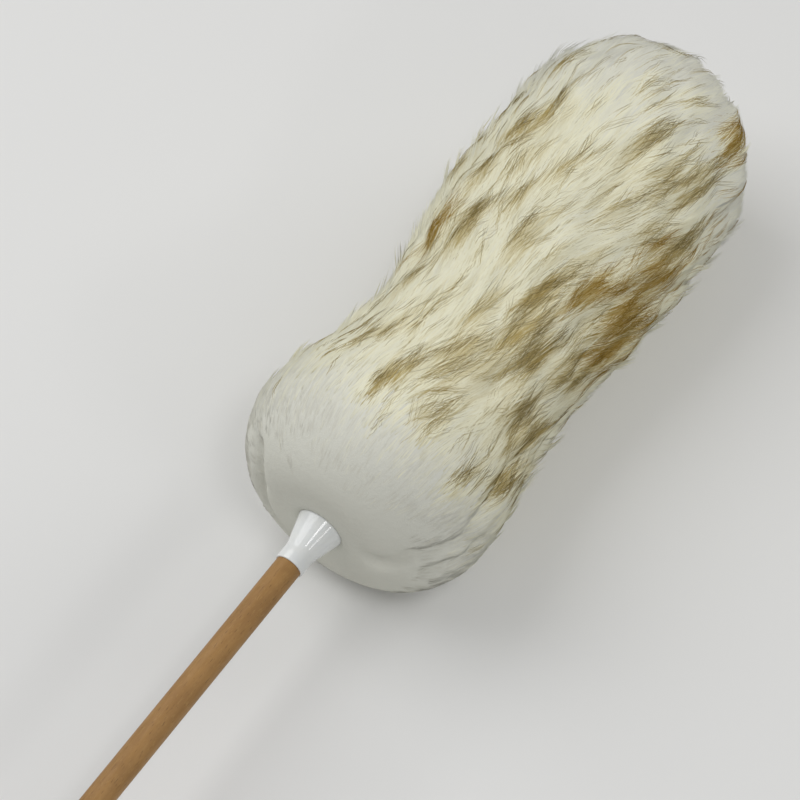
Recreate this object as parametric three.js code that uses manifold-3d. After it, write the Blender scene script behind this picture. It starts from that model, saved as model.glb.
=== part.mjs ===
// Lambswool duster. A straight wooden dowel is the handle and the core of the head. A strip of
// sheepskin, wool outwards, is wound on the dowel and stapled near both ends, and a moulded ferrule
// slides up the dowel and flares over the strip's lower end.
//
// Millimetres, +Z up. The duster lies on its side: the dowel runs along Y with the head towards +Y,
// z = 0 is the surface that the wool rests on, and y = 0 is halfway along the duster.

import * as THREE from "three";
import { mergeVertices } from "three/addons/utils/BufferGeometryUtils.js";
import Module from "manifold-3d";

// Driving dimensions: rod
const ROD_DIAMETER = 15;
const HANDLE_LENGTH = 326; // bare wood, from the butt to the ferrule
const BUTT_ROUNDING = 4.5; // radius on the edge of the butt
const ROD_END_CHAMFER = 1; // on the hidden end
const HANG_HOLE_DIAMETER = 7;
const HANG_HOLE_SETBACK = 22; // from the face of the butt to the axis of the hole

// Driving dimensions: ferrule
const FERRULE_WALL = 0.9;
const FERRULE_CLEARANCE = 0.1; // radial, for the glue between sleeve and rod
const SLEEVE_LENGTH = 10.5;
const CONE_LENGTH = 18.5;
const FLARE = 5.3; // how far the rim stands out beyond the sleeve
const FLARE_FILLET = 2; // length of the fillet on each side of the bend from sleeve to cone

// Driving dimensions: sheepskin strip
const HIDE_THICKNESS = 2;
const HIDE_WIDTH = 36;
const HIDE_CLEARANCE = 0.2; // radial, for the glue between hide and rod, and to the inside of the cone
const TURN_GAP = 0.6; // between one turn and the next
const STRIP_END_WIDTH = 3; // the strip is trimmed square to the rod, so its ends run out to this width

// Driving dimensions: staples
const STAPLE_CROWN = 10; // length along the rod
const STAPLE_LEG = 7;
const STAPLE_WIRE_WIDTH = 1.2;
const STAPLE_WIRE_THICKNESS = 0.9;
const STAPLE_SINK = 0.1; // depth of the crown below the face of the hide
const STAPLE_CLEARANCE = 0.3;
const STAPLE_TURNS_IN = 1.25; // turns from the end of the strip

// Driving dimensions: wool
const DIMPLE_DEPTH = 2; // how far the wool stands back from the rim of the ferrule
const DIMPLE_MARGIN = 1.5; // how far the dimple reaches beyond the rim
const BASE_OVERHANG = 1; // how far the base of the wool comes back past the rim
const BASE_CREST = 30; // radius at which the base comes back furthest
const BASE_DEPTH = 46; // from the rim to the widest part of the base
const BASE_RADIUS = 73.5;
const BASE_TO_WAIST = 70;
const WAIST_RADIUS = 61.5;
const WAIST_TO_CROWN = 129;
const CROWN_RADIUS = 71;
const CROWN_LENGTH = 40; // straight stretch of the crown
const TIP_ROUNDING = 71; // length of the rounded end
const TIP_FLAT = 12; // radius of the blunt middle of the end
const WOOL_CLEARANCE = 0.3; // to the hide and to the end of the rod
const WOOL_PAST_ROD = 55; // from the end of the rod to the tip
const WOOL_LEAN = 2.7; // sideways, because the pile is fuller on one side
const WAIST_LEAN = 3.3; // how much further the waist leans
const WAIST_SPREAD = 45; // how far along the rod the waist's lean reaches
const SAG = 8; // how far the widest part is pressed flat by what the duster lies on

// Driving dimensions: tufts of the wool, as waves along and around the head
const TUFT_LENGTH = 62;
const TUFT_COLUMNS = 12;
const TUFT_HEIGHT = 1.4;
const LUMP_LENGTH = 97;
const LUMP_COLUMNS = 5;
const LUMP_HEIGHT = 1.1;
const WANDER = 1.3; // radians by which rows and columns stray, so that tufts don't line up
const WANDER_LENGTH = 150;
const WANDER_COLUMNS = 3;

// Facets
const ROD_SIDES = 36;
const FERRULE_SIDES = 48;
const HOLE_SIDES = 24;
const HIDE_STEPS_PER_TURN = 24;
const WOOL_SIDES = 42;
const WOOL_FACET = 15; // greatest length of a facet along the tufted wool
const ARC_STEPS = 7;
const SMALL_ARC_STEPS = 4;

// Places along the rod, from the butt to the tip
const HEAD_LENGTH =
  BASE_DEPTH + BASE_TO_WAIST + WAIST_TO_CROWN + CROWN_LENGTH + TIP_ROUNDING;
const OVERALL_LENGTH = HANDLE_LENGTH + SLEEVE_LENGTH + CONE_LENGTH + HEAD_LENGTH;
const buttY = -OVERALL_LENGTH / 2;
const sleeveY = buttY + HANDLE_LENGTH;
const bendY = sleeveY + SLEEVE_LENGTH;
const rimY = bendY + CONE_LENGTH;
const tipY = rimY + HEAD_LENGTH;
const rodEndY = tipY - WOOL_PAST_ROD;
const baseY = rimY + BASE_DEPTH;
const waistY = baseY + BASE_TO_WAIST;
const shoulderY = tipY - TIP_ROUNDING;

// Radii about the rod's axis
const rodRadius = ROD_DIAMETER / 2;
const sleeveBore = rodRadius + FERRULE_CLEARANCE;
const sleeveRadius = sleeveBore + FERRULE_WALL;
const rimRadius = sleeveRadius + FLARE;
const hideInner = rodRadius + HIDE_CLEARANCE;
const hideOuter = hideInner + HIDE_THICKNESS;
const woolBore = hideOuter + WOOL_CLEARANCE;

// The rod's axis stands over the surface by what is left of the widest wool under it
const axisZ = Math.max(BASE_RADIUS, CROWN_RADIUS) - SAG;

const wasm = await Module();
wasm.setup();

/** Turns a closed geometry into a solid that can be joined and cut. */
function solidOf(geometry) {
  const bare = geometry.clone();
  bare.deleteAttribute("normal");
  bare.deleteAttribute("uv");
  const welded = mergeVertices(bare);
  const corners = welded.index.array;
  const triVerts = [];
  for (let i = 0; i < corners.length; i += 3) {
    const [a, b, c] = [corners[i], corners[i + 1], corners[i + 2]];
    if (a !== b && b !== c && c !== a) triVerts.push(a, b, c);
  }
  return new wasm.Manifold(
    new wasm.Mesh({
      numProp: 3,
      vertProperties: new Float32Array(welded.attributes.position.array),
      triVerts: new Uint32Array(triVerts),
    }),
  );
}

/** Turns a solid back into a geometry. */
function geometryOf(solid) {
  const { vertProperties, triVerts } = solid.getMesh();
  const geometry = new THREE.BufferGeometry();
  geometry.setAttribute("position", new THREE.BufferAttribute(vertProperties, 3));
  geometry.setIndex(new THREE.BufferAttribute(triVerts, 1));
  geometry.computeVertexNormals();
  return geometry;
}

/** Appends a quarter ellipse from the last point of an outline, which it leaves along an axis. */
function addQuarter(points, centreR, centreY, radiusR, radiusY, fromAngle, steps) {
  for (let i = 1; i <= steps; i += 1) {
    const angle = fromAngle + (i / steps) * (Math.PI / 2);
    points.push(
      new THREE.Vector2(centreR + radiusR * Math.cos(angle), centreY + radiusY * Math.sin(angle)),
    );
  }
}

/** Appends an S-shaped bend to an outline, level with the axis at both ends. */
function addSwell(points, toR, toY, steps) {
  const from = points[points.length - 1];
  const middleY = (from.y + toY) / 2;
  const swell = new THREE.CubicBezierCurve(
    from,
    new THREE.Vector2(from.x, middleY),
    new THREE.Vector2(toR, middleY),
    new THREE.Vector2(toR, toY),
  );
  points.push(...swell.getPoints(steps).slice(1));
}

/** One straight dowel with a rounded butt, a hang hole across it and holes for the staples. */
function rodSolid(stapleHoles) {
  const flat = rodRadius - BUTT_ROUNDING;
  const outline = [new THREE.Vector2(0, buttY), new THREE.Vector2(flat, buttY)];
  addQuarter(
    outline,
    flat,
    buttY + BUTT_ROUNDING,
    BUTT_ROUNDING,
    BUTT_ROUNDING,
    -Math.PI / 2,
    ARC_STEPS,
  );
  outline.push(
    new THREE.Vector2(rodRadius, rodEndY - ROD_END_CHAMFER),
    new THREE.Vector2(rodRadius - ROD_END_CHAMFER, rodEndY),
    new THREE.Vector2(0, rodEndY),
  );
  let rod = solidOf(new THREE.LatheGeometry(outline, ROD_SIDES));
  const holeRadius = HANG_HOLE_DIAMETER / 2;
  const hole = new THREE.CylinderGeometry(holeRadius, holeRadius, 2 * ROD_DIAMETER, HOLE_SIDES);
  hole.rotateX(Math.PI / 2);
  hole.translate(0, buttY + HANG_HOLE_SETBACK, 0);
  rod = rod.subtract(solidOf(hole));
  for (const stapleHole of stapleHoles) rod = rod.subtract(stapleHole);
  return rod;
}

/** Radius of the straight part of the cone's outside at a place along the rod. */
function coneRadius(y) {
  return sleeveRadius + (FLARE * (y - bendY)) / CONE_LENGTH;
}

/** Thickness of the cone measured square to the rod. */
const coneWall = FERRULE_WALL * Math.hypot(1, FLARE / CONE_LENGTH);

/** A thin moulded shell: a sleeve on the rod, a filleted bend, and a cone with a rounded rim. */
function ferruleGeometry() {
  const round = FERRULE_WALL / 2;
  const outline = [new THREE.Vector2(sleeveBore, sleeveY)];
  outline.push(new THREE.Vector2(sleeveRadius - round, sleeveY));
  addQuarter(
    outline,
    sleeveRadius - round,
    sleeveY + round,
    round,
    round,
    -Math.PI / 2,
    SMALL_ARC_STEPS,
  );
  const fillet = new THREE.QuadraticBezierCurve(
    new THREE.Vector2(sleeveRadius, bendY - FLARE_FILLET),
    new THREE.Vector2(sleeveRadius, bendY),
    new THREE.Vector2(coneRadius(bendY + FLARE_FILLET), bendY + FLARE_FILLET),
  );
  outline.push(...fillet.getPoints(ARC_STEPS));
  outline.push(new THREE.Vector2(coneRadius(rimY - round), rimY - round));
  const rimCentre = coneRadius(rimY) - coneWall / 2;
  addQuarter(outline, rimCentre, rimY - round, coneWall / 2, round, 0, SMALL_ARC_STEPS);
  addQuarter(outline, rimCentre, rimY - round, coneWall / 2, round, Math.PI / 2, SMALL_ARC_STEPS);
  const innerBendY = bendY + ((coneWall - FERRULE_WALL) * CONE_LENGTH) / FLARE;
  outline.push(new THREE.Vector2(sleeveBore, innerBendY), outline[0].clone());
  return new THREE.LatheGeometry(outline, FERRULE_SIDES);
}

// The strip starts where the inside of the cone first clears it, and ends flush with the rod
const stripStartY =
  bendY + ((hideOuter + HIDE_CLEARANCE + coneWall - sleeveRadius) * CONE_LENGTH) / FLARE;
const stripEndY = rodEndY - ROD_END_CHAMFER;
const stripPitch = HIDE_WIDTH + TURN_GAP;
const stripTurns =
  (stripEndY - stripStartY + HIDE_WIDTH - 2 * STRIP_END_WIDTH) / stripPitch;

/** Lower edge of the strip, before it is trimmed, after a number of turns. */
function stripLowY(turns) {
  return stripStartY - HIDE_WIDTH + STRIP_END_WIDTH + stripPitch * turns;
}

/** The sheepskin's skin side: one strip wound round the rod, trimmed square at both ends. */
function hideGeometry() {
  const steps = Math.ceil(stripTurns * HIDE_STEPS_PER_TURN);
  const positions = [];
  const corners = [];
  for (let i = 0; i <= steps; i += 1) {
    const turns = (stripTurns * i) / steps;
    const low = Math.max(stripLowY(turns), stripStartY);
    const high = Math.min(stripLowY(turns) + HIDE_WIDTH, stripEndY);
    const sine = Math.sin(2 * Math.PI * turns);
    const cosine = Math.cos(2 * Math.PI * turns);
    for (const [radius, y] of [
      [hideInner, low],
      [hideOuter, low],
      [hideOuter, high],
      [hideInner, high],
    ]) {
      positions.push(radius * sine, y, radius * cosine);
    }
  }
  const sides = 4;
  for (let i = 0; i < steps; i += 1) {
    for (let side = 0; side < sides; side += 1) {
      const a = i * sides + side;
      const b = i * sides + ((side + 1) % sides);
      corners.push(a, a + sides, b, b, a + sides, b + sides);
    }
  }
  const last = steps * sides;
  corners.push(0, 1, 2, 0, 2, 3);
  corners.push(last, last + 2, last + 1, last, last + 3, last + 2);
  const geometry = new THREE.BufferGeometry();
  geometry.setAttribute("position", new THREE.Float32BufferAttribute(positions, 3));
  geometry.setIndex(corners);
  return geometry;
}

/** A staple, or the room for one if grown, over the strip after a number of turns. */
function stapleGeometry(turns, growth) {
  const reach = STAPLE_CROWN / 2 + growth;
  const inside = STAPLE_CROWN / 2 - STAPLE_WIRE_THICKNESS - growth;
  const top = hideOuter - STAPLE_SINK + growth;
  const under = hideOuter - STAPLE_SINK - STAPLE_WIRE_THICKNESS - growth;
  const point = hideOuter - STAPLE_SINK - STAPLE_LEG - growth;
  const heel = point + STAPLE_WIRE_THICKNESS;
  const outline = new THREE.Shape([
    new THREE.Vector2(-reach, top),
    new THREE.Vector2(-reach, heel),
    new THREE.Vector2(-inside, point),
    new THREE.Vector2(-inside, under),
    new THREE.Vector2(inside, under),
    new THREE.Vector2(inside, point),
    new THREE.Vector2(reach, heel),
    new THREE.Vector2(reach, top),
  ]);
  const width = STAPLE_WIRE_WIDTH + 2 * growth;
  const geometry = new THREE.ExtrudeGeometry(outline, { depth: width, bevelEnabled: false });
  geometry.translate(0, 0, -width / 2);
  geometry.rotateX(Math.PI / 2);
  geometry.rotateZ(Math.PI / 2);
  geometry.rotateY(2 * Math.PI * turns);
  geometry.translate(0, stripLowY(turns) + HIDE_WIDTH / 2, 0);
  return geometry;
}

/** Waves along and around the wool, from -1 to 1, whose rows and columns stray. */
function waves(y, turn, length, columns) {
  const along = (2 * Math.PI * (y - rimY)) / length;
  const stray = Math.sin((2 * Math.PI * (y - rimY)) / WANDER_LENGTH);
  const row = Math.sin(along + WANDER * Math.sin(WANDER_COLUMNS * turn));
  return row * Math.cos(columns * turn + WANDER * stray);
}

/** How far the wool stands out in tufts: nowhere on its smooth base or at the middle of its tip. */
function tuftRise(y, radius, turn) {
  const share =
    THREE.MathUtils.smoothstep(y, baseY, waistY) *
    THREE.MathUtils.smoothstep(radius, TIP_FLAT, WAIST_RADIUS);
  const tufts = TUFT_HEIGHT * waves(y, turn, TUFT_LENGTH, TUFT_COLUMNS);
  const lumps = LUMP_HEIGHT * waves(y, turn, LUMP_LENGTH, LUMP_COLUMNS);
  return share * (tufts + lumps);
}

/** Raises the tufts on the turned wool and leans it sideways. */
function tuft(body) {
  const { position, normal } = body.attributes;
  const point = new THREE.Vector3();
  const outward = new THREE.Vector3();
  for (let i = 0; i < position.count; i += 1) {
    point.fromBufferAttribute(position, i);
    outward.fromBufferAttribute(normal, i);
    const radius = Math.hypot(point.x, point.z);
    const lean =
      WOOL_LEAN + WAIST_LEAN * Math.exp(-(((point.y - waistY) / WAIST_SPREAD) ** 2));
    point.addScaledVector(outward, tuftRise(point.y, radius, Math.atan2(point.x, point.z)));
    point.x += lean;
    position.setXYZ(i, point.x, point.y, point.z);
  }
}

/** Number of facets along a stretch of the tufted wool. */
function woolSteps(length) {
  return Math.ceil(length / WOOL_FACET);
}

/** The wool as one soft body: smooth base, tufted waist, crown and blunt tip, flat where it rests. */
function woolSolid() {
  const dimpleY = rimY + DIMPLE_DEPTH;
  const dimpleRadius = rimRadius + DIMPLE_MARGIN;
  const outline = [new THREE.Vector2(0, dimpleY), new THREE.Vector2(dimpleRadius, dimpleY)];
  const crestY = rimY - BASE_OVERHANG;
  const rise = new THREE.CubicBezierCurve(
    outline[outline.length - 1],
    new THREE.Vector2(dimpleRadius, (dimpleY + crestY) / 2),
    new THREE.Vector2((dimpleRadius + BASE_CREST) / 2, crestY),
    new THREE.Vector2(BASE_CREST, crestY),
  );
  outline.push(...rise.getPoints(SMALL_ARC_STEPS).slice(1));
  addQuarter(
    outline,
    BASE_CREST,
    baseY,
    BASE_RADIUS - BASE_CREST,
    baseY - crestY,
    -Math.PI / 2,
    ARC_STEPS,
  );
  addSwell(outline, WAIST_RADIUS, waistY, woolSteps(BASE_TO_WAIST));
  addSwell(outline, CROWN_RADIUS, waistY + WAIST_TO_CROWN, woolSteps(WAIST_TO_CROWN));
  const crownSteps = woolSteps(CROWN_LENGTH);
  for (let i = 1; i <= crownSteps; i += 1) {
    const backFromShoulder = CROWN_LENGTH * (1 - i / crownSteps);
    outline.push(new THREE.Vector2(CROWN_RADIUS, shoulderY - backFromShoulder));
  }
  addQuarter(
    outline,
    TIP_FLAT,
    shoulderY,
    CROWN_RADIUS - TIP_FLAT,
    TIP_ROUNDING,
    0,
    woolSteps((TIP_ROUNDING * Math.PI) / 2),
  );
  outline.push(new THREE.Vector2(0, tipY));
  const body = new THREE.LatheGeometry(outline, WOOL_SIDES);
  tuft(body);

  const boreLength = rodEndY + WOOL_CLEARANCE - sleeveY;
  const bore = new THREE.CylinderGeometry(woolBore, woolBore, boreLength, ROD_SIDES);
  bore.translate(0, sleeveY + boreLength / 2, 0);

  const width = 4 * Math.max(BASE_RADIUS, CROWN_RADIUS);
  const above = new THREE.BoxGeometry(width, 2 * OVERALL_LENGTH, width);
  above.translate(0, 0, width / 2 - axisZ);
  return solidOf(body).subtract(solidOf(bore)).intersect(solidOf(above));
}

const wood = new THREE.MeshStandardMaterial({ color: 0xa87848, roughness: 0.6, metalness: 0 });
const whitePlastic = new THREE.MeshStandardMaterial({
  color: 0xe6e8ea,
  roughness: 0.25,
  metalness: 0,
});
const skin = new THREE.MeshStandardMaterial({ color: 0xcdbb9a, roughness: 0.85, metalness: 0 });
const creamWool = new THREE.MeshStandardMaterial({ color: 0xd8d2bc, roughness: 1, metalness: 0 });
const steel = new THREE.MeshStandardMaterial({ color: 0xb8bcc0, roughness: 0.35, metalness: 1 });

const duster = new THREE.Group();
duster.position.set(0, 0, axisZ);

/** Adds one named piece to the duster. */
function addPiece(name, geometry, material) {
  const mesh = new THREE.Mesh(geometry, material);
  mesh.name = name;
  duster.add(mesh);
}

const staples = [
  { name: "base_staple", turns: STAPLE_TURNS_IN },
  { name: "tip_staple", turns: stripTurns - STAPLE_TURNS_IN },
];
const stapleHoles = staples.map(({ turns }) => solidOf(stapleGeometry(turns, STAPLE_CLEARANCE)));

let hide = solidOf(hideGeometry());
for (const stapleHole of stapleHoles) hide = hide.subtract(stapleHole);

addPiece("handle_rod", geometryOf(rodSolid(stapleHoles)), wood);
addPiece("ferrule", geometryOf(solidOf(ferruleGeometry())), whitePlastic);
addPiece("hide_strip", geometryOf(hide), skin);
addPiece("fleece", geometryOf(woolSolid()), creamWool);
for (const { name, turns } of staples) {
  addPiece(name, geometryOf(solidOf(stapleGeometry(turns, 0))), steel);
}

export default duster;
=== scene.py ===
"""Lambswool duster.

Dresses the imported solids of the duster: a smooth wooden rod, a moulded white ferrule and a head of
brown-tipped lambswool, made of tapered strands gathered in locks over a tufted undercoat.

Metres, in the frame of the solids: +Y along the rod towards the tip of the wool, +Z up, and z = 0 the
surface that the duster lies on.
"""

import logging
import math
from dataclasses import dataclass
from enum import Enum

import bpy
import numpy as np
from mathutils import Matrix, Vector, noise


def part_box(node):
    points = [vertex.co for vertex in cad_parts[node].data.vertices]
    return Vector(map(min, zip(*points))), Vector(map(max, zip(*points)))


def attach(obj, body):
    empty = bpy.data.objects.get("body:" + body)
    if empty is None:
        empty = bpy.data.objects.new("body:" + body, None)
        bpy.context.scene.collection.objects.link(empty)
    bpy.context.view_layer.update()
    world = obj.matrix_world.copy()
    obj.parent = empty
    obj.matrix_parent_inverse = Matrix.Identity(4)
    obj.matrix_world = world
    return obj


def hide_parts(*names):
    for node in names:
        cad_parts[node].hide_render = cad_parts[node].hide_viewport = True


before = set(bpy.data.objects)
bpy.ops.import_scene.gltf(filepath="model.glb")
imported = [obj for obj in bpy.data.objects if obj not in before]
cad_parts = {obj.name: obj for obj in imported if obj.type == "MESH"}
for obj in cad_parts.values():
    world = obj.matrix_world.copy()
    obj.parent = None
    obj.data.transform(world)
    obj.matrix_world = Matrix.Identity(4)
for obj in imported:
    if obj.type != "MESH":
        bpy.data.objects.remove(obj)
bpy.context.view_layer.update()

MM = 0.001
WELD = 0.001 * MM
TINY = 1e-9
COAT_RADIUS = 0.27 * MM
HAIR_RADIUS = 0.112 * MM
HAIR_TAPERS = (0.6, 1.0, 0.8, 0.25)
EVEN_STEPS = (0.7548776662466927, 0.5698402909980532)
BODY = "root"
log = logging.getLogger("duster")

Colour = tuple[float, float, float, float]
Array = np.ndarray
Material = bpy.types.Material
Piece = bpy.types.Object
Socket = bpy.types.NodeSocket


def shade(red: float, green: float, blue: float) -> Colour:
    """Returns an opaque linear colour."""
    return (red, green, blue, 1.0)


def smooth_step(low: float, high: float, values: Array) -> Array:
    """Eases values from 0 at low to 1 at high."""
    part = np.clip((values - low) / (high - low), 0.0, 1.0)
    return part * part * (3.0 - 2.0 * part)


@dataclass(frozen=True)
class SpaceNoise:
    """Smooth noise of about -1 to 1 in space.

    Attributes:
        scale: Repeats per metre along x, y and z.
        seed: Shifts the pattern.
    """

    scale: tuple[float, float, float]
    seed: float

    def at(self, points: Array) -> Array:
        """Samples the noise at points, one a row."""
        places = points * np.array(self.scale) + self.seed
        return np.array([noise.noise(Vector(place)) for place in places])


def turn_gap(turns: Array, degrees: float) -> Array:
    """Returns the angles of turns about the rod from a direction in degrees, from -pi to pi."""
    return (turns - math.radians(degrees) + math.pi) % math.tau - math.pi


class NodeBoard:
    """Places and links shader nodes in a material or a node group."""

    def __init__(self, tree: bpy.types.NodeTree) -> None:
        """Keeps the tree that the nodes go into."""
        self.tree = tree

    def add(self, kind: str, **settings: object) -> bpy.types.Node:
        """Adds a node and sets its properties.

        Args:
            kind: Blender's name for the node type.
            settings: Properties of the node.

        Returns:
            The node.
        """
        node = self.tree.nodes.new(kind)
        for name, value in settings.items():
            setattr(node, name, value)
        return node

    def feed(self, source: object, socket: Socket) -> None:
        """Links a socket to another, or sets its value.

        Args:
            source: An output socket, or a plain value.
            socket: The input that takes it.
        """
        if isinstance(source, Socket):
            self.tree.links.new(source, socket)
        else:
            socket.default_value = source

    def feed_all(self, node: bpy.types.Node, values: dict[str, object]) -> None:
        """Feeds several inputs of a node by their names."""
        for name, value in values.items():
            self.feed(value, node.inputs[name])

    def maths(self, operation: str, first: object, second: object = 0.0) -> Socket:
        """Adds a Math node.

        Args:
            operation: The node's operation.
            first: First operand, a socket or a number.
            second: Second operand, a socket or a number.

        Returns:
            The result's socket.
        """
        node = self.add("ShaderNodeMath", operation=operation)
        self.feed(first, node.inputs[0])
        self.feed(second, node.inputs[1])
        return node.outputs[0]

    def remap(self, value: object, low: float, high: float, to_low: float,
              to_high: float) -> Socket:
        """Adds a Map Range node that eases at both ends.

        Args:
            value: What is mapped.
            low: Value that becomes to_low.
            high: Value that becomes to_high.
            to_low: Low end of the result.
            to_high: High end of the result.

        Returns:
            The result's socket.
        """
        node = self.add("ShaderNodeMapRange", interpolation_type="SMOOTHSTEP")
        ends = {"From Min": low, "From Max": high, "To Min": to_low, "To Max": to_high}
        self.feed_all(node, {"Value": value, **ends})
        return node.outputs["Result"]

    def between(self, value: object, ends: tuple[float, float]) -> Socket:
        """Maps 0 to 1 onto two ends."""
        return self.remap(value, 0.0, 1.0, *ends)

    def mix(self, amount: object, first: object, second: object) -> Socket:
        """Adds a colour Mix node.

        Args:
            amount: Share of the second colour.
            first: First colour or its socket.
            second: Second colour or its socket.

        Returns:
            The mixed colour's socket.
        """
        node = self.add("ShaderNodeMix", data_type="RGBA")
        self.feed_all(node, {"Factor": amount, "A": first, "B": second})
        return next(out for out in node.outputs if out.type == "RGBA")

    def ramp(self, value: object, stops: tuple[tuple[float, Colour], ...]) -> Socket:
        """Adds a Color Ramp node.

        Args:
            value: Place along the ramp.
            stops: Places and colours, in order.

        Returns:
            The colour's socket.
        """
        node = self.add("ShaderNodeValToRGB")
        elements = node.color_ramp.elements
        while len(elements) < len(stops):
            elements.new(1.0)
        for element, (place, colour) in zip(elements, stops):
            element.position = place
            element.color = colour
        self.feed(value, node.inputs["Fac"])
        return node.outputs["Color"]

    def bump(self, height: object, strength: float, distance: float) -> Socket:
        """Adds a Bump node.

        Args:
            height: Height socket.
            strength: How strongly it shows.
            distance: Depth of the relief in metres.

        Returns:
            The normal's socket.
        """
        node = self.add("ShaderNodeBump")
        self.feed_all(node, {"Height": height, "Strength": strength, "Distance": distance})
        return node.outputs["Normal"]


class SurfacePatterns:
    """A shader node group of noise drawn out along Y, which the finishes share."""

    detail: float = 4.0
    roughness: float = 0.55
    levels: tuple[float, float] = (0.3, 0.7)

    def __init__(self) -> None:
        """Builds the group, which puts out noise from 0 to 1."""
        self.tree = bpy.data.node_groups.new("Streaks", "ShaderNodeTree")
        for label, kind in (("Vector", "Vector"), ("Scale", "Float"), ("Stretch", "Float")):
            self.tree.interface.new_socket(label, in_out="INPUT", socket_type=f"NodeSocket{kind}")
        self.tree.interface.new_socket("Value", in_out="OUTPUT", socket_type="NodeSocketFloat")
        board = NodeBoard(self.tree)
        inputs = board.add("NodeGroupInput")
        parts = board.add("ShaderNodeSeparateXYZ")
        board.feed(inputs.outputs["Vector"], parts.inputs[0])
        drawn = board.maths("DIVIDE", parts.outputs["Y"], inputs.outputs["Stretch"])
        joined = board.add("ShaderNodeCombineXYZ")
        board.feed_all(joined, {"X": parts.outputs["X"], "Y": drawn, "Z": parts.outputs["Z"]})
        grain = board.add("ShaderNodeTexNoise")
        board.feed_all(grain, {"Vector": joined.outputs[0], "Scale": inputs.outputs["Scale"]})
        board.feed_all(grain, {"Detail": self.detail, "Roughness": self.roughness})
        result = board.add("NodeGroupOutput")
        board.feed(board.remap(grain.outputs[0], *self.levels, 0.0, 1.0), result.inputs["Value"])

    def noise(self, board: NodeBoard, scale: float, stretch: float = 1.0) -> Socket:
        """Places the group in a material.

        Args:
            board: Board of the material's nodes.
            scale: Repeats per metre.
            stretch: How far the noise is drawn out along Y.

        Returns:
            The noise's socket.
        """
        node = board.add("ShaderNodeGroup", node_tree=self.tree)
        place = board.add("ShaderNodeTexCoord").outputs["Object"]
        board.feed_all(node, {"Vector": place, "Scale": scale, "Stretch": stretch})
        return node.outputs["Value"]


def new_material(name: str) -> tuple[Material, NodeBoard, bpy.types.Node]:
    """Makes a material with one Principled shader.

    Args:
        name: Name of the material.

    Returns:
        The material, a board for its nodes, and the shader.
    """
    material = bpy.data.materials.new(name)
    material.use_nodes = True
    board = NodeBoard(material.node_tree)
    shader = next(node for node in material.node_tree.nodes if node.type == "BSDF_PRINCIPLED")
    return material, board, shader


@dataclass(frozen=True)
class WoodFinish:
    """Satin finished hardwood: close grain along Y, fine flecks and short dark pores."""

    pale: Colour = shade(0.366, 0.200, 0.064)
    dark: Colour = shade(0.280, 0.147, 0.046)
    fleck: Colour = shade(0.39, 0.230, 0.078)
    pore: Colour = shade(0.13, 0.066, 0.022)
    grain_scale: float = 330.0
    grain_stretch: float = 9.0
    grain_share: float = 0.5
    blotch_scale: float = 60.0
    fleck_scale: float = 1150.0
    fleck_stretch: float = 4.0
    fleck_from: float = 0.7
    fleck_share: float = 0.45
    pore_scale: float = 1300.0
    pore_stretch: float = 7.0
    pore_to: float = 0.12
    pore_share: float = 0.55
    pore_relief: float = 2.0
    relief_strength: float = 0.25
    relief_depth: float = 0.08 * MM
    roughness: tuple[float, float] = (0.56, 0.44)
    gloss: float = 0.35

    def material(self, patterns: SurfacePatterns) -> Material:
        """Builds the material.

        Args:
            patterns: Shared noise.

        Returns:
            The material.
        """
        material, board, shader = new_material("wood")
        grain = patterns.noise(board, self.grain_scale, self.grain_stretch)
        blotch = patterns.noise(board, self.blotch_scale)
        pores = patterns.noise(board, self.pore_scale, self.pore_stretch)
        flecks = patterns.noise(board, self.fleck_scale, self.fleck_stretch)
        close = board.maths("MULTIPLY", grain, self.grain_share)
        figure = board.maths("ADD", close, board.maths("MULTIPLY", blotch, 1.0 - self.grain_share))
        colour = board.mix(figure, self.dark, self.pale)
        fleck_mask = board.remap(flecks, self.fleck_from, 1.0, 0.0, self.fleck_share)
        colour = board.mix(fleck_mask, colour, self.fleck)
        pore_mask = board.remap(pores, self.pore_to, 0.0, 0.0, self.pore_share)
        relief = board.maths("ADD", grain, board.maths("MULTIPLY", pores, self.pore_relief))
        board.feed_all(shader, {
            "Base Color": board.mix(pore_mask, colour, self.pore),
            "Roughness": board.between(grain, self.roughness),
            "Normal": board.bump(relief, self.relief_strength, self.relief_depth),
            "Specular IOR Level": self.gloss,
        })
        return material


@dataclass(frozen=True)
class PlainFinish:
    """A finish of two tones and two roughnesses, which one noise shares out.

    Attributes:
        name: Name of the material.
        tones: Dark and pale colour.
        roughness: Roughness of each.
        scale: Repeats of the noise per metre.
        stretch: How far the noise is drawn out along Y.
        metallic: Share of metal.
        glow: Share of light that goes under the surface.
        glow_depth: How deep that light goes.
        pore_scale: Repeats of the pores per metre.
        pore_strength: How strongly the pores show, if they do.
        pore_depth: Depth of the pores.
    """

    name: str
    tones: tuple[Colour, Colour]
    roughness: tuple[float, float]
    scale: float
    stretch: float = 1.0
    metallic: float = 0.0
    glow: float = 0.0
    glow_depth: float = 2.0 * MM
    pore_scale: float = 1400.0
    pore_strength: float = 0.0
    pore_depth: float = 0.2 * MM

    def material(self, patterns: SurfacePatterns) -> Material:
        """Builds the material.

        Args:
            patterns: Shared noise.

        Returns:
            The material.
        """
        material, board, shader = new_material(self.name)
        uneven = patterns.noise(board, self.scale, self.stretch)
        board.feed_all(shader, {
            "Base Color": board.mix(uneven, *self.tones),
            "Roughness": board.between(uneven, self.roughness),
            "Metallic": self.metallic,
            "Subsurface Weight": self.glow,
            "Subsurface Radius": (1.0, 1.0, 1.0),
            "Subsurface Scale": self.glow_depth,
        })
        if self.pore_strength:
            pores = patterns.noise(board, self.pore_scale)
            board.feed(board.bump(pores, self.pore_strength, self.pore_depth), shader.inputs["Normal"])
        return material


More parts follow.
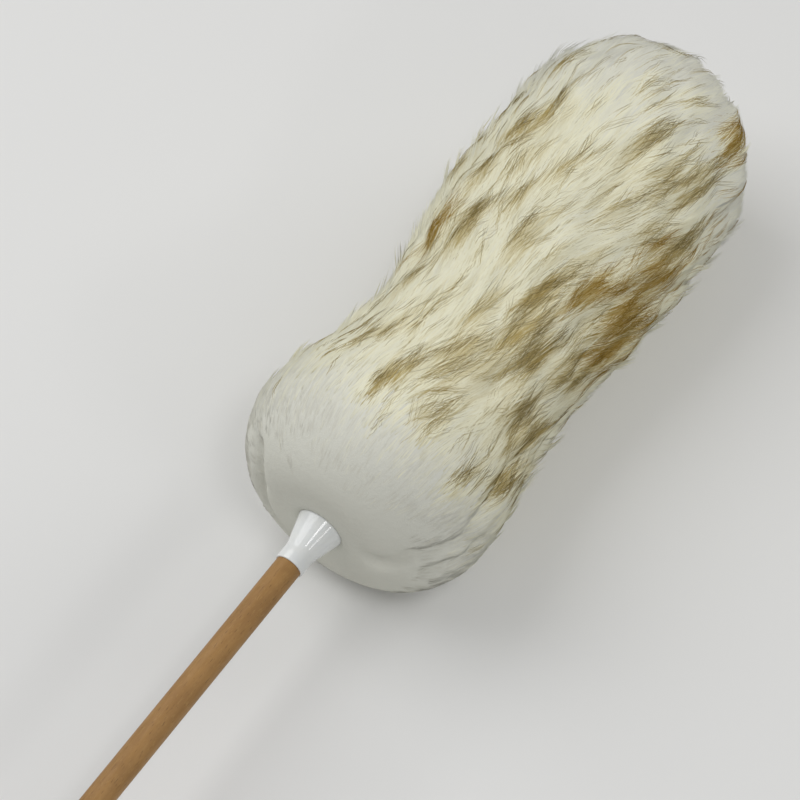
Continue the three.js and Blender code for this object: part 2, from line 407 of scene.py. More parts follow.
# Glossy moulded plastic, the skin side of the sheepskin, and drawn staple wire with lengthwise scratches.
PLASTIC = PlainFinish("white_plastic", tones=(shade(0.77, 0.79, 0.79), shade(0.80, 0.815, 0.80)),
                      roughness=(0.08, 0.05), scale=160.0, glow=0.12)
HIDE = PlainFinish("hide", tones=(shade(0.50, 0.39, 0.25), shade(0.66, 0.55, 0.38)),
                   roughness=(0.92, 0.78), scale=90.0, pore_strength=0.4)
STEEL = PlainFinish("steel", tones=(shade(0.42, 0.43, 0.45), shade(0.60, 0.61, 0.63)),
                    roughness=(0.45, 0.28), scale=3000.0, stretch=20.0, metallic=1.0)


class WoolKind(Enum):
    """Kinds of wool, each with its share of the colour columns that strands are drawn from."""

    COAT = (0.0, 0.5)
    OLIVE = (0.5, 0.75)
    WARM = (0.75, 1.0)

    def column(self, levels: Array) -> Array:
        """Turns levels from 0 to 1 into places among this kind's columns."""
        low, high = self.value
        return low + (high - low) * levels


@dataclass(frozen=True)
class WoolFinish:
    """Wool strands: the column of a strand's map gives its kind, the height its place along the strand."""

    map_name: str = "OFBake"
    columns: int = 64
    tip_from: float = 0.05
    tip_to: float = 0.6
    roughness: tuple[float, float] = (0.85, 0.7)
    # Colour at the root end of each column. In the coat's columns (0 to 0.5) the roots are darker than the
    # tips: painted shade for the creases where the locks part. The brown columns' paler roots are the wool's
    # own colour.
    roots_with_painted_shade: tuple[tuple[float, Colour], ...] = (
        (0.00, shade(0.21, 0.135, 0.034)),
        (0.10, shade(0.31, 0.235, 0.088)),
        (0.20, shade(0.45, 0.39, 0.22)),
        (0.32, shade(0.57, 0.535, 0.36)),
        (0.41, shade(0.60, 0.585, 0.46)),
        (0.49, shade(0.65, 0.65, 0.58)),
        (0.51, shade(0.58, 0.49, 0.25)),
        (0.74, shade(0.38, 0.285, 0.105)),
        (0.76, shade(0.60, 0.46, 0.20)),
        (1.00, shade(0.34, 0.215, 0.055)),
    )
    tips: tuple[tuple[float, Colour], ...] = (
        (0.00, shade(0.29, 0.190, 0.045)),
        (0.10, shade(0.44, 0.345, 0.135)),
        (0.20, shade(0.65, 0.585, 0.365)),
        (0.32, shade(0.83, 0.81, 0.62)),
        (0.41, shade(0.75, 0.74, 0.62)),
        (0.49, shade(0.68, 0.68, 0.615)),
        (0.51, shade(0.41, 0.326, 0.14)),
        (0.74, shade(0.085, 0.063, 0.022)),
        (0.76, shade(0.40, 0.26, 0.058)),
        (1.00, shade(0.125, 0.070, 0.011)),
    )

    def material(self) -> Material:
        """Builds the material.

        Returns:
            The material.
        """
        material, board, shader = new_material("wool_strands")
        parts = board.add("ShaderNodeSeparateXYZ")
        board.feed(board.add("ShaderNodeUVMap", uv_map=self.map_name).outputs["UV"], parts.inputs[0])
        column = board.maths("FLOOR", board.maths("MULTIPLY", parts.outputs["X"], float(self.columns)))
        kind = board.maths("DIVIDE", board.maths("ADD", column, 0.5), float(self.columns))
        along = board.remap(parts.outputs["Y"], self.tip_from, self.tip_to, 0.0, 1.0)
        # Blending from root to tip colour paints shade at the roots of the coat's strands.
        colour = board.mix(along, board.ramp(kind, self.roots_with_painted_shade), board.ramp(kind, self.tips))
        board.feed_all(shader, {
            "Base Color": colour,
            "Roughness": board.between(along, self.roughness),
            "Specular IOR Level": 0.0,
        })
        return material


@dataclass(frozen=True)
class UndercoatFinish:
    """Dense wool under the locks: cream, streaked along the rod and greyer at the base."""

    cream: Colour = shade(0.74, 0.71, 0.54)
    deep: Colour = shade(0.67, 0.63, 0.45)
    grey: Colour = shade(0.67, 0.67, 0.60)
    grey_to: float = 40.0 * MM
    cream_from: float = 100.0 * MM
    streak_scale: float = 260.0
    streak_stretch: float = 7.0
    fibre_scale: float = 1500.0
    fibre_stretch: float = 14.0
    fibre_relief: float = 0.5
    relief_strength: float = 0.18
    relief_depth: float = 1.2 * MM
    roughness: tuple[float, float] = (0.95, 0.85)

    def material(self, patterns: SurfacePatterns, rim_y: float) -> Material:
        """Builds the material.

        Args:
            patterns: Shared noise.
            rim_y: Place of the ferrule's rim along Y.

        Returns:
            The material.
        """
        material, board, shader = new_material("wool_undercoat")
        parts = board.add("ShaderNodeSeparateXYZ")
        board.feed(board.add("ShaderNodeTexCoord").outputs["Object"], parts.inputs[0])
        streaks = patterns.noise(board, self.streak_scale, self.streak_stretch)
        fibres = patterns.noise(board, self.fibre_scale, self.fibre_stretch)
        colour = board.mix(streaks, self.deep, self.cream)
        greyness = board.remap(parts.outputs["Y"], rim_y + self.grey_to, rim_y + self.cream_from, 1.0, 0.0)
        relief = board.maths("ADD", streaks, board.maths("MULTIPLY", fibres, self.fibre_relief))
        board.feed_all(shader, {
            "Base Color": board.mix(greyness, colour, self.grey),
            "Roughness": board.between(streaks, self.roughness),
            "Normal": board.bump(relief, self.relief_strength, self.relief_depth),
            "Specular IOR Level": 0.0,
        })
        return material


@dataclass(frozen=True)
class FloorFinish:
    """Plain pale floor."""

    colour: Colour = shade(0.76, 0.76, 0.75)
    roughness: float = 0.9

    def material(self) -> Material:
        """Builds the material.

        Returns:
            The material.
        """
        material, board, shader = new_material("pale_floor")
        board.feed_all(shader, {"Base Color": self.colour, "Roughness": self.roughness})
        return material


def deselect_all() -> None:
    """Clears the selection in object mode."""
    bpy.ops.object.select_all(action="DESELECT")


def activate(piece: Piece) -> None:
    """Makes a piece the only one that is selected, and the active one.

    Args:
        piece: The piece.
    """
    deselect_all()
    piece.select_set(True)
    bpy.context.view_layer.objects.active = piece


def spin_outline(name: str, outline: list[tuple[float, float]], axis_z: float,
                 steps: int) -> Piece:
    """Models a turned piece: one vertex is extruded along an outline, which is spun about the rod's axis.

    Args:
        name: Name of the piece.
        outline: Radius and place along Y of each point, closed or ending on the axis.
        axis_z: Height of the rod's axis.
        steps: Facets round the axis.

    Returns:
        The piece, with its normals outwards.
    """
    deselect_all()
    bpy.ops.mesh.primitive_plane_add(size=MM, location=(0.0, 0.0, 0.0))
    piece = bpy.context.object
    piece.name = name
    bpy.ops.object.mode_set(mode="EDIT")
    bpy.ops.mesh.select_all(action="SELECT")
    bpy.ops.mesh.merge(type="CENTER")
    radius, y = outline[0]
    bpy.ops.transform.translate(value=(radius, y, axis_z))
    for next_radius, next_y in outline[1:]:
        step = (next_radius - radius, next_y - y, 0.0)
        bpy.ops.mesh.extrude_region_move(TRANSFORM_OT_translate={"value": step})
        radius, y = next_radius, next_y
    bpy.ops.mesh.select_all(action="SELECT")
    bpy.ops.mesh.spin(steps=steps, angle=math.tau, center=(0.0, 0.0, axis_z), axis=(0.0, 1.0, 0.0))
    bpy.ops.mesh.select_all(action="SELECT")
    bpy.ops.mesh.remove_doubles(threshold=WELD)
    bpy.ops.mesh.normals_make_consistent(inside=False)
    bpy.ops.object.mode_set(mode="OBJECT")
    bpy.ops.object.shade_smooth()
    return piece


def arc(centre: tuple[float, float], radii: tuple[float, float], start: float, end: float,
        steps: int) -> list[tuple[float, float]]:
    """Points on an elliptical arc of an outline.

    Args:
        centre: Radius and place along Y of the arc's centre.
        radii: Half sizes across and along the rod.
        start: First angle in degrees, 0 pointing away from the axis and 90 towards the tip.
        end: Last angle in degrees.
        steps: Number of stretches.

    Returns:
        Points from start to end.
    """
    angles = np.radians(np.linspace(start, end, steps + 1))
    return [(centre[0] + radii[0] * math.cos(a), centre[1] + radii[1] * math.sin(a)) for a in angles]


def dress(piece: Piece, material: Material) -> None:
    """Gives a new piece its material and its body, and logs its faces.

    Args:
        piece: The piece.
        material: Its finish.
    """
    piece.data.materials.clear()
    piece.data.materials.append(material)
    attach(piece, BODY)
    log.info("%s: %d faces", piece.name, len(piece.data.polygons))


def repaint_node(name: str, material: Material) -> None:
    """Gives a solid that stays its finish.

    Args:
        name: The solid's node.
        material: Its finish.
    """
    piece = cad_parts[name]
    for index in range(len(piece.material_slots)):
        piece.material_slots[index].material = material
    log.info("%s: repainted", name)


@dataclass
class Rod:
    """The wooden dowel, smooth turned, with a rounded butt and a hang hole."""

    butt_rounding: float = 4.5 * MM
    butt_steps: int = 10
    end_chamfer: float = 1.0 * MM
    hole_radius: float = 3.5 * MM
    hole_setback: float = 22.0 * MM
    hole_facets: int = 48
    cutter_reach: float = 4.0
    facets: int = 96
    smooth_angle: float = 35.0

    def __post_init__(self) -> None:
        """Takes the sizes of the solid from the frame."""
        low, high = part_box("handle_rod")
        self.radius = (high[0] - low[0]) / 2
        self.axis_z = (high[2] + low[2]) / 2
        self.butt_y = low[1]
        self.end_y = high[1]

    def build(self, material: Material) -> None:
        """Models the rod.

        Args:
            material: Its finish.
        """
        rounding = self.butt_rounding
        outline = [(0.0, self.butt_y)]
        outline += arc((self.radius - rounding, self.butt_y + rounding), (rounding, rounding),
                       -90.0, 0.0, self.butt_steps)
        outline.append((self.radius, self.end_y - self.end_chamfer))
        outline.append((self.radius - self.end_chamfer, self.end_y))
        outline.append((0.0, self.end_y))
        rod = spin_outline("wooden_rod", outline, self.axis_z, self.facets)
        self._drill(rod)
        bpy.ops.object.shade_smooth_by_angle(angle=math.radians(self.smooth_angle))
        dress(rod, material)
        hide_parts("handle_rod")

    def _drill(self, rod: Piece) -> None:
        """Cuts the hang hole.

        Args:
            rod: The turned rod.
        """
        place = (0.0, self.butt_y + self.hole_setback, self.axis_z)
        deselect_all()
        bpy.ops.mesh.primitive_cylinder_add(vertices=self.hole_facets, radius=self.hole_radius,
                                            depth=self.cutter_reach * self.radius, location=place)
        cutter = bpy.context.object
        activate(rod)
        cut = rod.modifiers.new("hang_hole", "BOOLEAN")
        cut.operation = "DIFFERENCE"
        cut.solver = "EXACT"
        cut.object = cutter
        bpy.ops.object.modifier_apply(modifier=cut.name)
        bpy.data.objects.remove(cutter, do_unlink=True)


@dataclass
class FerruleShell:
    """The moulded white collar: a sleeve, a filleted bend and a cone with a rounded rim."""

    wall: float = 0.9 * MM
    sleeve_length: float = 10.5 * MM
    clearance: float = 0.1 * MM
    fillet: float = 2.0 * MM
    ring_setback: float = 0.05
    lip_steps: int = 6
    bend_steps: int = 12
    rim_steps: int = 12
    facets: int = 160
    smooth_angle: float = 40.0

    def __post_init__(self) -> None:
        """Takes the sizes of the solid from the frame."""
        low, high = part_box("ferrule")
        rod_low, rod_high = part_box("handle_rod")
        self.axis_z = (high[2] + low[2]) / 2
        self.start_y = low[1]
        self.rim_y = high[1]
        self.rim_radius = (high[0] - low[0]) / 2
        self.bore = (rod_high[0] - rod_low[0]) / 2 + self.clearance

    def build(self, material: Material) -> None:
        """Models the shell.

        Args:
            material: Its finish.
        """
        shell = spin_outline("ferrule_shell", self._outline(), self.axis_z, self.facets)
        bpy.ops.object.shade_smooth_by_angle(angle=math.radians(self.smooth_angle))
        dress(shell, material)
        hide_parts("ferrule")

    def _outline(self) -> list[tuple[float, float]]:
        """Works out the outline: the outside from the sleeve to the rim, and back along the inside.

        Returns:
            Radius and place along Y of each point.
        """
        sleeve = self.bore + self.wall
        bend_y = self.start_y + self.sleeve_length
        flare = self.rim_radius - sleeve
        cone_length = self.rim_y - bend_y
        across = self.wall * math.hypot(1.0, flare / cone_length)
        lip = self.wall / 2
        before = (sleeve, bend_y - self.fillet)
        turn = (sleeve, bend_y)
        top = (sleeve + flare * self.fillet / cone_length, bend_y + self.fillet)
        edge = (self.rim_radius, self.rim_y - lip)
        outline = [(self.bore, self.start_y)]
        outline += arc((sleeve - lip, self.start_y + lip), (lip, lip), -90.0, 0.0, self.lip_steps)
        for part in np.linspace(0.0, 1.0, self.bend_steps + 1):
            shares = ((1 - part) ** 2, 2 * part * (1 - part), part ** 2)
            outline.append(tuple(np.dot(shares, ends) for ends in zip(before, turn, top)))
        for part in (self.ring_setback, 1.0 - self.ring_setback):
            outline.append((top[0] + (edge[0] - top[0]) * part, top[1] + (edge[1] - top[1]) * part))
        outline += arc((self.rim_radius - across / 2, edge[1]), (across / 2, lip), 0.0, 180.0, self.rim_steps)
        outline.append((self.bore, bend_y + (across - self.wall) * cone_length / flare))
        outline.append(outline[0])
        return outline


@dataclass(frozen=True)
class Parting:
    """A soft furrow in the wool.

    Attributes:
        course: Points it runs through: distance along the outline in millimetres and turn in degrees.
        depth: Depth in millimetres.
        width: Half width in millimetres.
    """

    course: tuple[tuple[float, float], ...]
    depth: float
    width: float


PARTINGS = (
    Parting(((48, -60), (40, -68), (33, -81), (32, -116), (29, -142)), 5.4, 4.8),
    Parting(((22, 89), (42, 76), (64, 78), (75, 79), (84, 75), (103, 72), (124, 73)), 5.0, 5.8),
    Parting(((49, 94), (61, 91), (74, 93), (82, 88)), 4.6, 4.6),
)


@dataclass
class FleeceForm:
    """Outer form of the wool: a turned outline from the ferrule to the tip with soft lumps and partings.

    Places on it are given by the distance along the outline from the ferrule and the turn about the rod.
    """

    crest_radius: float = 30.0 * MM
    overhang: float = 1.6 * MM
    dimple: float = 1.0 * MM
    dimple_inset: float = 1.0 * MM
    lip_gap: float = 0.4 * MM
    lip_reach: float = 0.8 * MM
    lip_rise: float = 2.2 * MM
    base_depth: float = 46.0 * MM
    base_radius: float = 73.5 * MM
    base_to_waist: float = 70.0 * MM
    waist_radius: float = 61.5 * MM
    waist_to_crown: float = 129.0 * MM
    crown_radius: float = 71.0 * MM
    tip_rounding: float = 71.0 * MM
    tip_flat: float = 12.0 * MM
    lean: float = 2.7 * MM
    waist_lean: float = 3.3 * MM
    waist_spread: float = 45.0 * MM
    lean_from: float = 3.0 * MM
    lean_to: float = 24.0 * MM
    tuft_length: float = 62.0 * MM
    tuft_columns: int = 12
    tuft_height: float = 1.4 * MM
    lump_length: float = 97.0 * MM
    lump_columns: int = 5
    lump_height: float = 1.1 * MM
    wander: float = 1.3
    wander_length: float = 150.0 * MM
    wander_columns: int = 3
    lock_height: float = 2.8 * MM
    locks: SpaceNoise = SpaceNoise((95.0, 38.0, 95.0), 8.8)
    locks_from: float = 90.0 * MM
    locks_to: float = 150.0 * MM
    dent_height: float = 0.7 * MM
    dents: SpaceNoise = SpaceNoise((22.0, 22.0, 22.0), 4.3)
    dents_from: float = 10.0 * MM
    dents_to: float = 50.0 * MM
    full_from: float = 50.0 * MM
    full_to: float = 120.0 * MM
    bore_gap: float = 0.3 * MM
    least_radius: float = 6.0 * MM
    lip_steps: int = 14
    dome_steps: int = 24
    waist_steps: int = 20
    crown_steps: int = 24
    grid: int = 240
    grid_margin: float = 0.001

    def __post_init__(self) -> None:
        """Takes places from the frame and works out the outline by its arc length."""
        rod_low, rod_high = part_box("handle_rod")
        ferrule_low, ferrule_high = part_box("ferrule")
        _, fleece_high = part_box("fleece")
        hide_low, hide_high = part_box("hide_strip")
        self.axis_z = (rod_low[2] + rod_high[2]) / 2
        self.rod_end_y = rod_high[1]
        self.rim_y = ferrule_high[1]
        self.rim_radius = (ferrule_high[0] - ferrule_low[0]) / 2
        self.tip_y = fleece_high[1]
        self.bore = (hide_high[0] - hide_low[0]) / 2 + self.bore_gap
        self.base_y = self.rim_y + self.base_depth
        self.waist_y = self.base_y + self.base_to_waist
        corners = np.array(self._outline())
        runs = np.concatenate([[0.0], np.cumsum(np.hypot(*np.diff(corners, axis=0).T))])
        self.total = float(runs[-1])
        self.lengths = np.linspace(0.0, self.total, self.grid)
        self.radii = np.interp(self.lengths, runs, corners[:, 0])
        self.ys = np.interp(self.lengths, runs, corners[:, 1])
        slope = np.stack([np.gradient(self.radii, self.lengths), np.gradient(self.ys, self.lengths)])
        self.slope_r, self.slope_y = slope / np.linalg.norm(slope, axis=0)
        self._carve()

    @staticmethod
    def _swell(start: tuple[float, float], end: tuple[float, float], steps: int) -> list[tuple[float, float]]:
        """Points on an S-shaped bend that is level with the rod at both ends.

        Args:
            start: First point, which is left out.
            end: Last point.
            steps: Number of points.

        Returns:
            The points.
        """
        points = []
        middle = (start[1] + end[1]) / 2
        for part in np.linspace(0.0, 1.0, steps + 1)[1:]:
            rise = part * part * (3 - 2 * part)
            along = (1 - part) ** 3 * start[1] + 3 * part * (1 - part) * middle + part ** 3 * end[1]
            points.append((start[0] + (end[0] - start[0]) * rise, along))
        return points

    def _outline(self) -> list[tuple[float, float]]:
        """Works out the outline, from inside the rim of the ferrule to the tip.

        Returns:
            Radius and place along Y of each point.
        """
        start = (self.rim_radius - self.dimple_inset, self.rim_y + self.dimple)
        crest = (self.crest_radius, self.rim_y - self.overhang)
        base = (self.base_radius, self.rim_y + self.base_depth)
        waist = (self.waist_radius, self.waist_y)
        crown = (self.crown_radius, self.waist_y + self.waist_to_crown)
        shoulder_y = self.tip_y - self.tip_rounding
        lip = (self.rim_radius + self.lip_gap, self.rim_y - self.lip_reach)
        points = [start, lip]
        for part in np.linspace(0.0, 1.0, self.lip_steps + 1)[1:]:
            radius = lip[0] + (crest[0] - lip[0]) * part
            rise = 1.0 - math.exp(-(radius - lip[0]) / self.lip_rise)
            points.append((radius, lip[1] + (crest[1] - lip[1]) * rise))
        dome = (self.base_radius - self.crest_radius, base[1] - crest[1])
        points += arc((self.crest_radius, base[1]), dome, -90.0, 0.0, self.dome_steps)[1:]
        points += self._swell(base, waist, self.waist_steps)
        points += self._swell(waist, crown, self.crown_steps)
        points.append((self.crown_radius, shoulder_y))
        points += arc((self.tip_flat, shoulder_y), (self.crown_radius - self.tip_flat, self.tip_rounding),
                      0.0, 90.0, self.dome_steps)[1:]
        points.append((0.0, self.tip_y))
        return points

    def _carve(self) -> None:
        """Works out the relief of the surface and its slopes on a grid of lengths and turns."""
        self.turns = np.linspace(0.0, math.tau, self.grid, endpoint=False)
        lengths, turns = np.meshgrid(self.lengths, self.turns, indexing="ij")
        radii = np.repeat(self.radii[:, None], self.grid, axis=1)
        ys = np.repeat(self.ys[:, None], self.grid, axis=1)
        spots = np.stack([radii * np.sin(turns), ys, radii * np.cos(turns)], axis=-1).reshape(-1, 3)
        dents = self.dents.at(spots).reshape(lengths.shape)
        dents *= smooth_step(self.dents_from, self.dents_to, lengths)
        locks = self.locks.at(spots).reshape(lengths.shape)
        locks *= smooth_step(self.locks_from, self.locks_to, lengths)
        share = smooth_step(self.base_y, self.waist_y, ys)
        share *= smooth_step(self.tip_flat, self.waist_radius, radii)
        relief = self.tuft_height * share * self._waves(ys, turns, self.tuft_length, self.tuft_columns)
        relief += self.lump_height * share * self._waves(ys, turns, self.lump_length, self.lump_columns)
        relief += self.dent_height * dents + self.lock_height * locks
        for parting in PARTINGS:
            gap = self._gap(parting, lengths, turns, radii)
            relief -= parting.depth * MM * np.exp(-(gap / parting.width) ** 2)
        self.relief = relief
        self.rise_along = np.gradient(relief, self.lengths, axis=0)
        step = math.tau / self.grid
        around = (np.roll(relief, -1, axis=1) - np.roll(relief, 1, axis=1)) / (2.0 * step)
        self.rise_around = around / np.maximum(radii, self.least_radius)

    def _waves(self, ys: Array, turns: Array, length: float, columns: int) -> Array:
        """Waves along and around the wool, from -1 to 1, whose rows and columns stray.

        Args:
            ys: Places along the rod.
            turns: Turns about the rod.
            length: Length of a wave along the rod.
            columns: Number of waves around the rod.

        Returns:
            Heights of the waves.
        """
        along = math.tau * (ys - self.rim_y)
        row = np.sin(along / length + self.wander * np.sin(self.wander_columns * turns))
        return row * np.cos(columns * turns + self.wander * np.sin(along / self.wander_length))

    @staticmethod
    def _gap(parting: Parting, lengths: Array, turns: Array, radii: Array) -> Array:
        """Finds the distance of places on the wool from a parting.

        Args:
            parting: The parting.
            lengths: Distances along the outline.
            turns: Turns about the rod.
            radii: Radii of the places.

        Returns:
            Distances in millimetres.
        """
        nearest = np.full(lengths.shape, np.inf)
        for (first, first_turn), (last, last_turn) in zip(parting.course, parting.course[1:]):
            ahead = lengths / MM - first
            aside = turn_gap(turns, first_turn) * radii / MM
            run = last - first
            sweep = math.radians(last_turn - first_turn) * radii / MM
            part = np.clip((ahead * run + aside * sweep) / (run * run + sweep * sweep), 0.0, 1.0)
            nearest = np.minimum(nearest, np.hypot(ahead - part * run, aside - part * sweep))
        return nearest

    def lean_at(self, ys: Array) -> Array:
        """Sideways shift of the wool at places along Y."""
        return self.lean + self.waist_lean * np.exp(-(((ys - self.waist_y) / self.waist_spread) ** 2))

    def radius_at(self, lengths: Array) -> Array:
        """Radius of the wool at distances along the outline, with a least value at the tip."""
        return np.maximum(np.interp(lengths, self.lengths, self.radii), self.least_radius)

    def fullness(self, lengths: Array) -> Array:
        """Fullness of the coat along the outline, from 0 on the smooth base to 1 on the crown."""
        return smooth_step(self.full_from, self.full_to, lengths)

    def _read(self, table: Array, lengths: Array, turns: Array) -> Array:
        """Reads a grid between its points.

        Args:
            table: Values over lengths and turns.
            lengths: Distances along the outline.
            turns: Turns about the rod.

        Returns:
            The values there.
        """
        last = self.grid - 1
        row = np.clip(lengths / self.total * last, 0.0, last - self.grid_margin)
        column = (turns / math.tau * self.grid) % self.grid
        top, left = np.floor(row).astype(int), np.floor(column).astype(int) % self.grid
        down, across = row - top, column - np.floor(column)
        right = (left + 1) % self.grid
        upper = table[top, left] * (1 - across) + table[top, right] * across
        lower = table[top + 1, left] * (1 - across) + table[top + 1, right] * across
        return upper * (1 - down) + lower * down

    def place(self, lengths: Array, turns: Array, heights: Array) -> tuple[Array, Array]:
        """Finds points over the wool's surface.

        Args:
            lengths: Distance along the outline from the ferrule. Past the tip it runs down the far side.
            turns: Angle about the rod, 0 at the top and growing towards +X.
            heights: Height over the surface.

        Returns:
            Points and outward normals, one a row.
        """
        beyond = lengths > self.total
        lengths = np.where(beyond, 2.0 * self.total - lengths, lengths)
        turns = np.where(beyond, turns + math.pi, turns)
        radii = np.interp(lengths, self.lengths, self.radii)
        ys = np.interp(lengths, self.lengths, self.ys)
        slope_r = np.interp(lengths, self.lengths, self.slope_r)
        slope_y = np.interp(lengths, self.lengths, self.slope_y)
        sine, cosine = np.sin(turns), np.cos(turns)
        level = np.zeros_like(sine)
        outward = np.stack([slope_y * sine, -slope_r, slope_y * cosine], axis=-1)
        forward = np.stack([slope_r * sine, slope_y, slope_r * cosine], axis=-1)
        around = np.stack([cosine, level, -sine], axis=-1)
        lean = self.lean_at(ys) * smooth_step(self.lean_from, self.lean_to, lengths)
        points = np.stack([radii * sine + lean, ys, radii * cosine + self.axis_z], axis=-1)
        points += outward * (heights + self._read(self.relief, lengths, turns))[..., None]
        normals = outward - forward * self._read(self.rise_along, lengths, turns)[..., None]
        normals -= around * self._read(self.rise_around, lengths, turns)[..., None]
        return points, normals / np.linalg.norm(normals, axis=-1, keepdims=True)


@dataclass
class Undercoat:
    """The dense wool close to the skin, which shows between the locks."""

    form: FleeceForm
    base_depth: float = 0.25 * MM
    crown_depth: float = 9.0 * MM
    rim_reach: float = 12.0 * MM
    deepens_from: float = 60.0 * MM
    deepens_to: float = 160.0 * MM
    start_inset: float = 2.0 * MM
    end_gap: float = 0.3 * MM
    facets: int = 200
    touch: float = 0.02 * MM
    floor_gap: float = 0.6 * MM

    def build(self, material: Material) -> None:
        """Models the undercoat: a turned shell with a bore, pressed into the wool's relief.

        Args:
            material: Its finish.
        """
        form = self.form
        inset = self.depth_at(form.lengths)
        radii = np.maximum(form.radii - form.slope_y * inset, 0.0)
        radii[-1] = 0.0
        ys = form.ys + form.slope_r * inset
        end_y = form.rod_end_y + self.end_gap
        outline = [(form.bore, form.rim_y + self.start_inset), *zip(radii.tolist(), ys.tolist())]
        outline += [(0.0, end_y), (form.bore, end_y), outline[0]]
        coat = spin_outline("wool_undercoat", outline, form.axis_z, self.facets)
        self._press(coat, radii, ys, inset)
        self._flatten(coat)
        dress(coat, material)
        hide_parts("fleece")

    def depth_at(self, lengths: Array) -> Array:
        """Depth of the undercoat below the wool's surface.

        Args:
            lengths: Distances along the outline.

        Returns:
            Depths there.
        """
        step = smooth_step(self.deepens_from, self.deepens_to, lengths)
        start = smooth_step(0.0, self.rim_reach, lengths)
        return (self.base_depth + (self.crown_depth - self.base_depth) * step) * start

    def _press(self, coat: Piece, radii: Array, ys: Array, inset: Array) -> None:
        """Moves the outside of the turned shell to the relief and lean of the wool's form.

        Args:
            coat: The turned shell.
            radii: Radii of its outline.
            ys: Places of its outline along Y.
            inset: Depth of the outline below the wool's surface.
        """
        points = np.empty(len(coat.data.vertices) * 3)
        coat.data.vertices.foreach_get("co", points)
        points = points.reshape(-1, 3)
        upright = points[:, 2] - self.form.axis_z
        reach = np.hypot(points[:, 0], upright)
        gaps = np.hypot(reach[:, None] - radii[None, :], points[:, 1, None] - ys[None, :])
        nearest = np.argmin(gaps, axis=1)
        outside = gaps[np.arange(len(points)), nearest] < self.touch
        turns = np.arctan2(points[:, 0], upright)[outside]
        index = nearest[outside]
        points[outside], _ = self.form.place(self.form.lengths[index], turns, -inset[index])
        coat.data.vertices.foreach_set("co", points.ravel())
        coat.data.update()

    def _flatten(self, coat: Piece) -> None:
        """Cuts the underside flat where the wool rests.

        Args:
            coat: The undercoat.
        """
        activate(coat)
        bpy.ops.object.mode_set(mode="EDIT")
        bpy.ops.mesh.select_all(action="SELECT")
        bpy.ops.mesh.bisect(plane_co=(0.0, 0.0, self.floor_gap), plane_no=(0.0, 0.0, 1.0),
                            use_fill=True, clear_inner=True)
        bpy.ops.mesh.select_all(action="SELECT")
        bpy.ops.mesh.normals_make_consistent(inside=False)
        bpy.ops.object.mode_set(mode="OBJECT")


@dataclass(frozen=True)
class BrownPatch:
    """A place on the wool where brown-tipped strands gather.

    Attributes:
        along: Distance along Y from the ferrule's rim, in millimetres.
        turn: Angle about the rod in degrees, 0 on top and growing towards +X.
        length: Half size along the strands, in millimetres.
        width: Half size across the strands, in millimetres.
        strength: Share of brown strands in the middle; below 0 where pale wool covers the patches before it.
        warm: Whether the brown is orange rather than olive.
    """

    along: float
    turn: float
    length: float
    width: float
    strength: float
    warm: bool = False


# Along, turn, length, width and strength of each patch: single marks, then wide faint washes.
OLIVE_PATCHES = (
    (66, -1, 14, 6, 0.92), (67, 28, 19, 6, 0.42), (44, 8, 13, 4, 0.35), (111, -13, 13, 5, 0.28),
    (110, 13, 15, 6, 0.48), (113, 33, 15, 7, 0.50), (133, 9, 13, 6, 0.58), (136, 30, 17, 6, 0.78),
    (164, 27, 15, 5, 0.88), (138, 47, 18, 8, 0.74), (106, 57, 20, 7, 0.52), (48, 54, 17, 8, 0.45),
    (75, 73, 18, 9, 0.72), (105, 77, 18, 9, 0.65), (149, 79, 18, 10, 0.75), (242, 67, 14, 8, 0.85),
    (233, 49, 12, 5, 0.50), (275, 51, 16, 8, 0.84), (266, 40, 14, 6, 0.62), (275, 22, 16, 8, 0.50),
    (304, 18, 13, 5, 0.40), (305, 5, 12, 6, 0.34), (313, 30, 10, 6, 0.40), (278, -8, 13, 4, 0.35),
    (304, -38, 10, 5, 0.25), (253, -29, 19, 7, 0.80), (260, -16, 14, 5, 0.42), (173, -26, 15, 6, 0.64),
    (200, -10, 12, 5, 0.42), (184, 5, 14, 5, 0.65), (229, 0, 14, 6, 0.48), (227, -18, 13, 6, 0.58),
    (249, 12, 12, 4, 0.28), (234, 32, 15, 5, 0.42), (206, -36, 14, 5, 0.55), (88, -26, 15, 5, 0.60),
    (127, -41, 14, 4, 0.45), (188, 24, 12, 4, 0.36),
    (61, 18, 14, 28, 0.33), (95, 64, 34, 14, 0.35), (169, -36, 24, 10, 0.30), (128, 28, 36, 13, 0.30),
    (271, 39, 28, 13, 0.40), (150, 45, 48, 26, 0.33), (146, 65, 22, 10, 0.45), (92, 22, 26, 30, 0.30),
)
WARM_PATCHES = (
    (183, 84, 18, 10, 1.00), (196, 72, 18, 9, 1.00), (218, 70, 18, 8, 0.95), (231, 58, 10, 6, 0.80),
    (184, 47, 16, 7, 0.98), (317, 59, 12, 10, 1.00), (167, -44, 14, 6, 0.75),
    (172, 82, 32, 14, 0.66), (222, 64, 30, 12, 0.56),
)
PALE_PATCHES = ((214, 53, 10, 6, -0.9), (164, 48, 9, 6, -0.8), (126, 73, 9, 5, -0.8))
BROWN_PATCHES = (
    *(BrownPatch(*row) for row in OLIVE_PATCHES),
    *(BrownPatch(*row, warm=True) for row in WARM_PATCHES),
    *(BrownPatch(*row) for row in PALE_PATCHES),
)


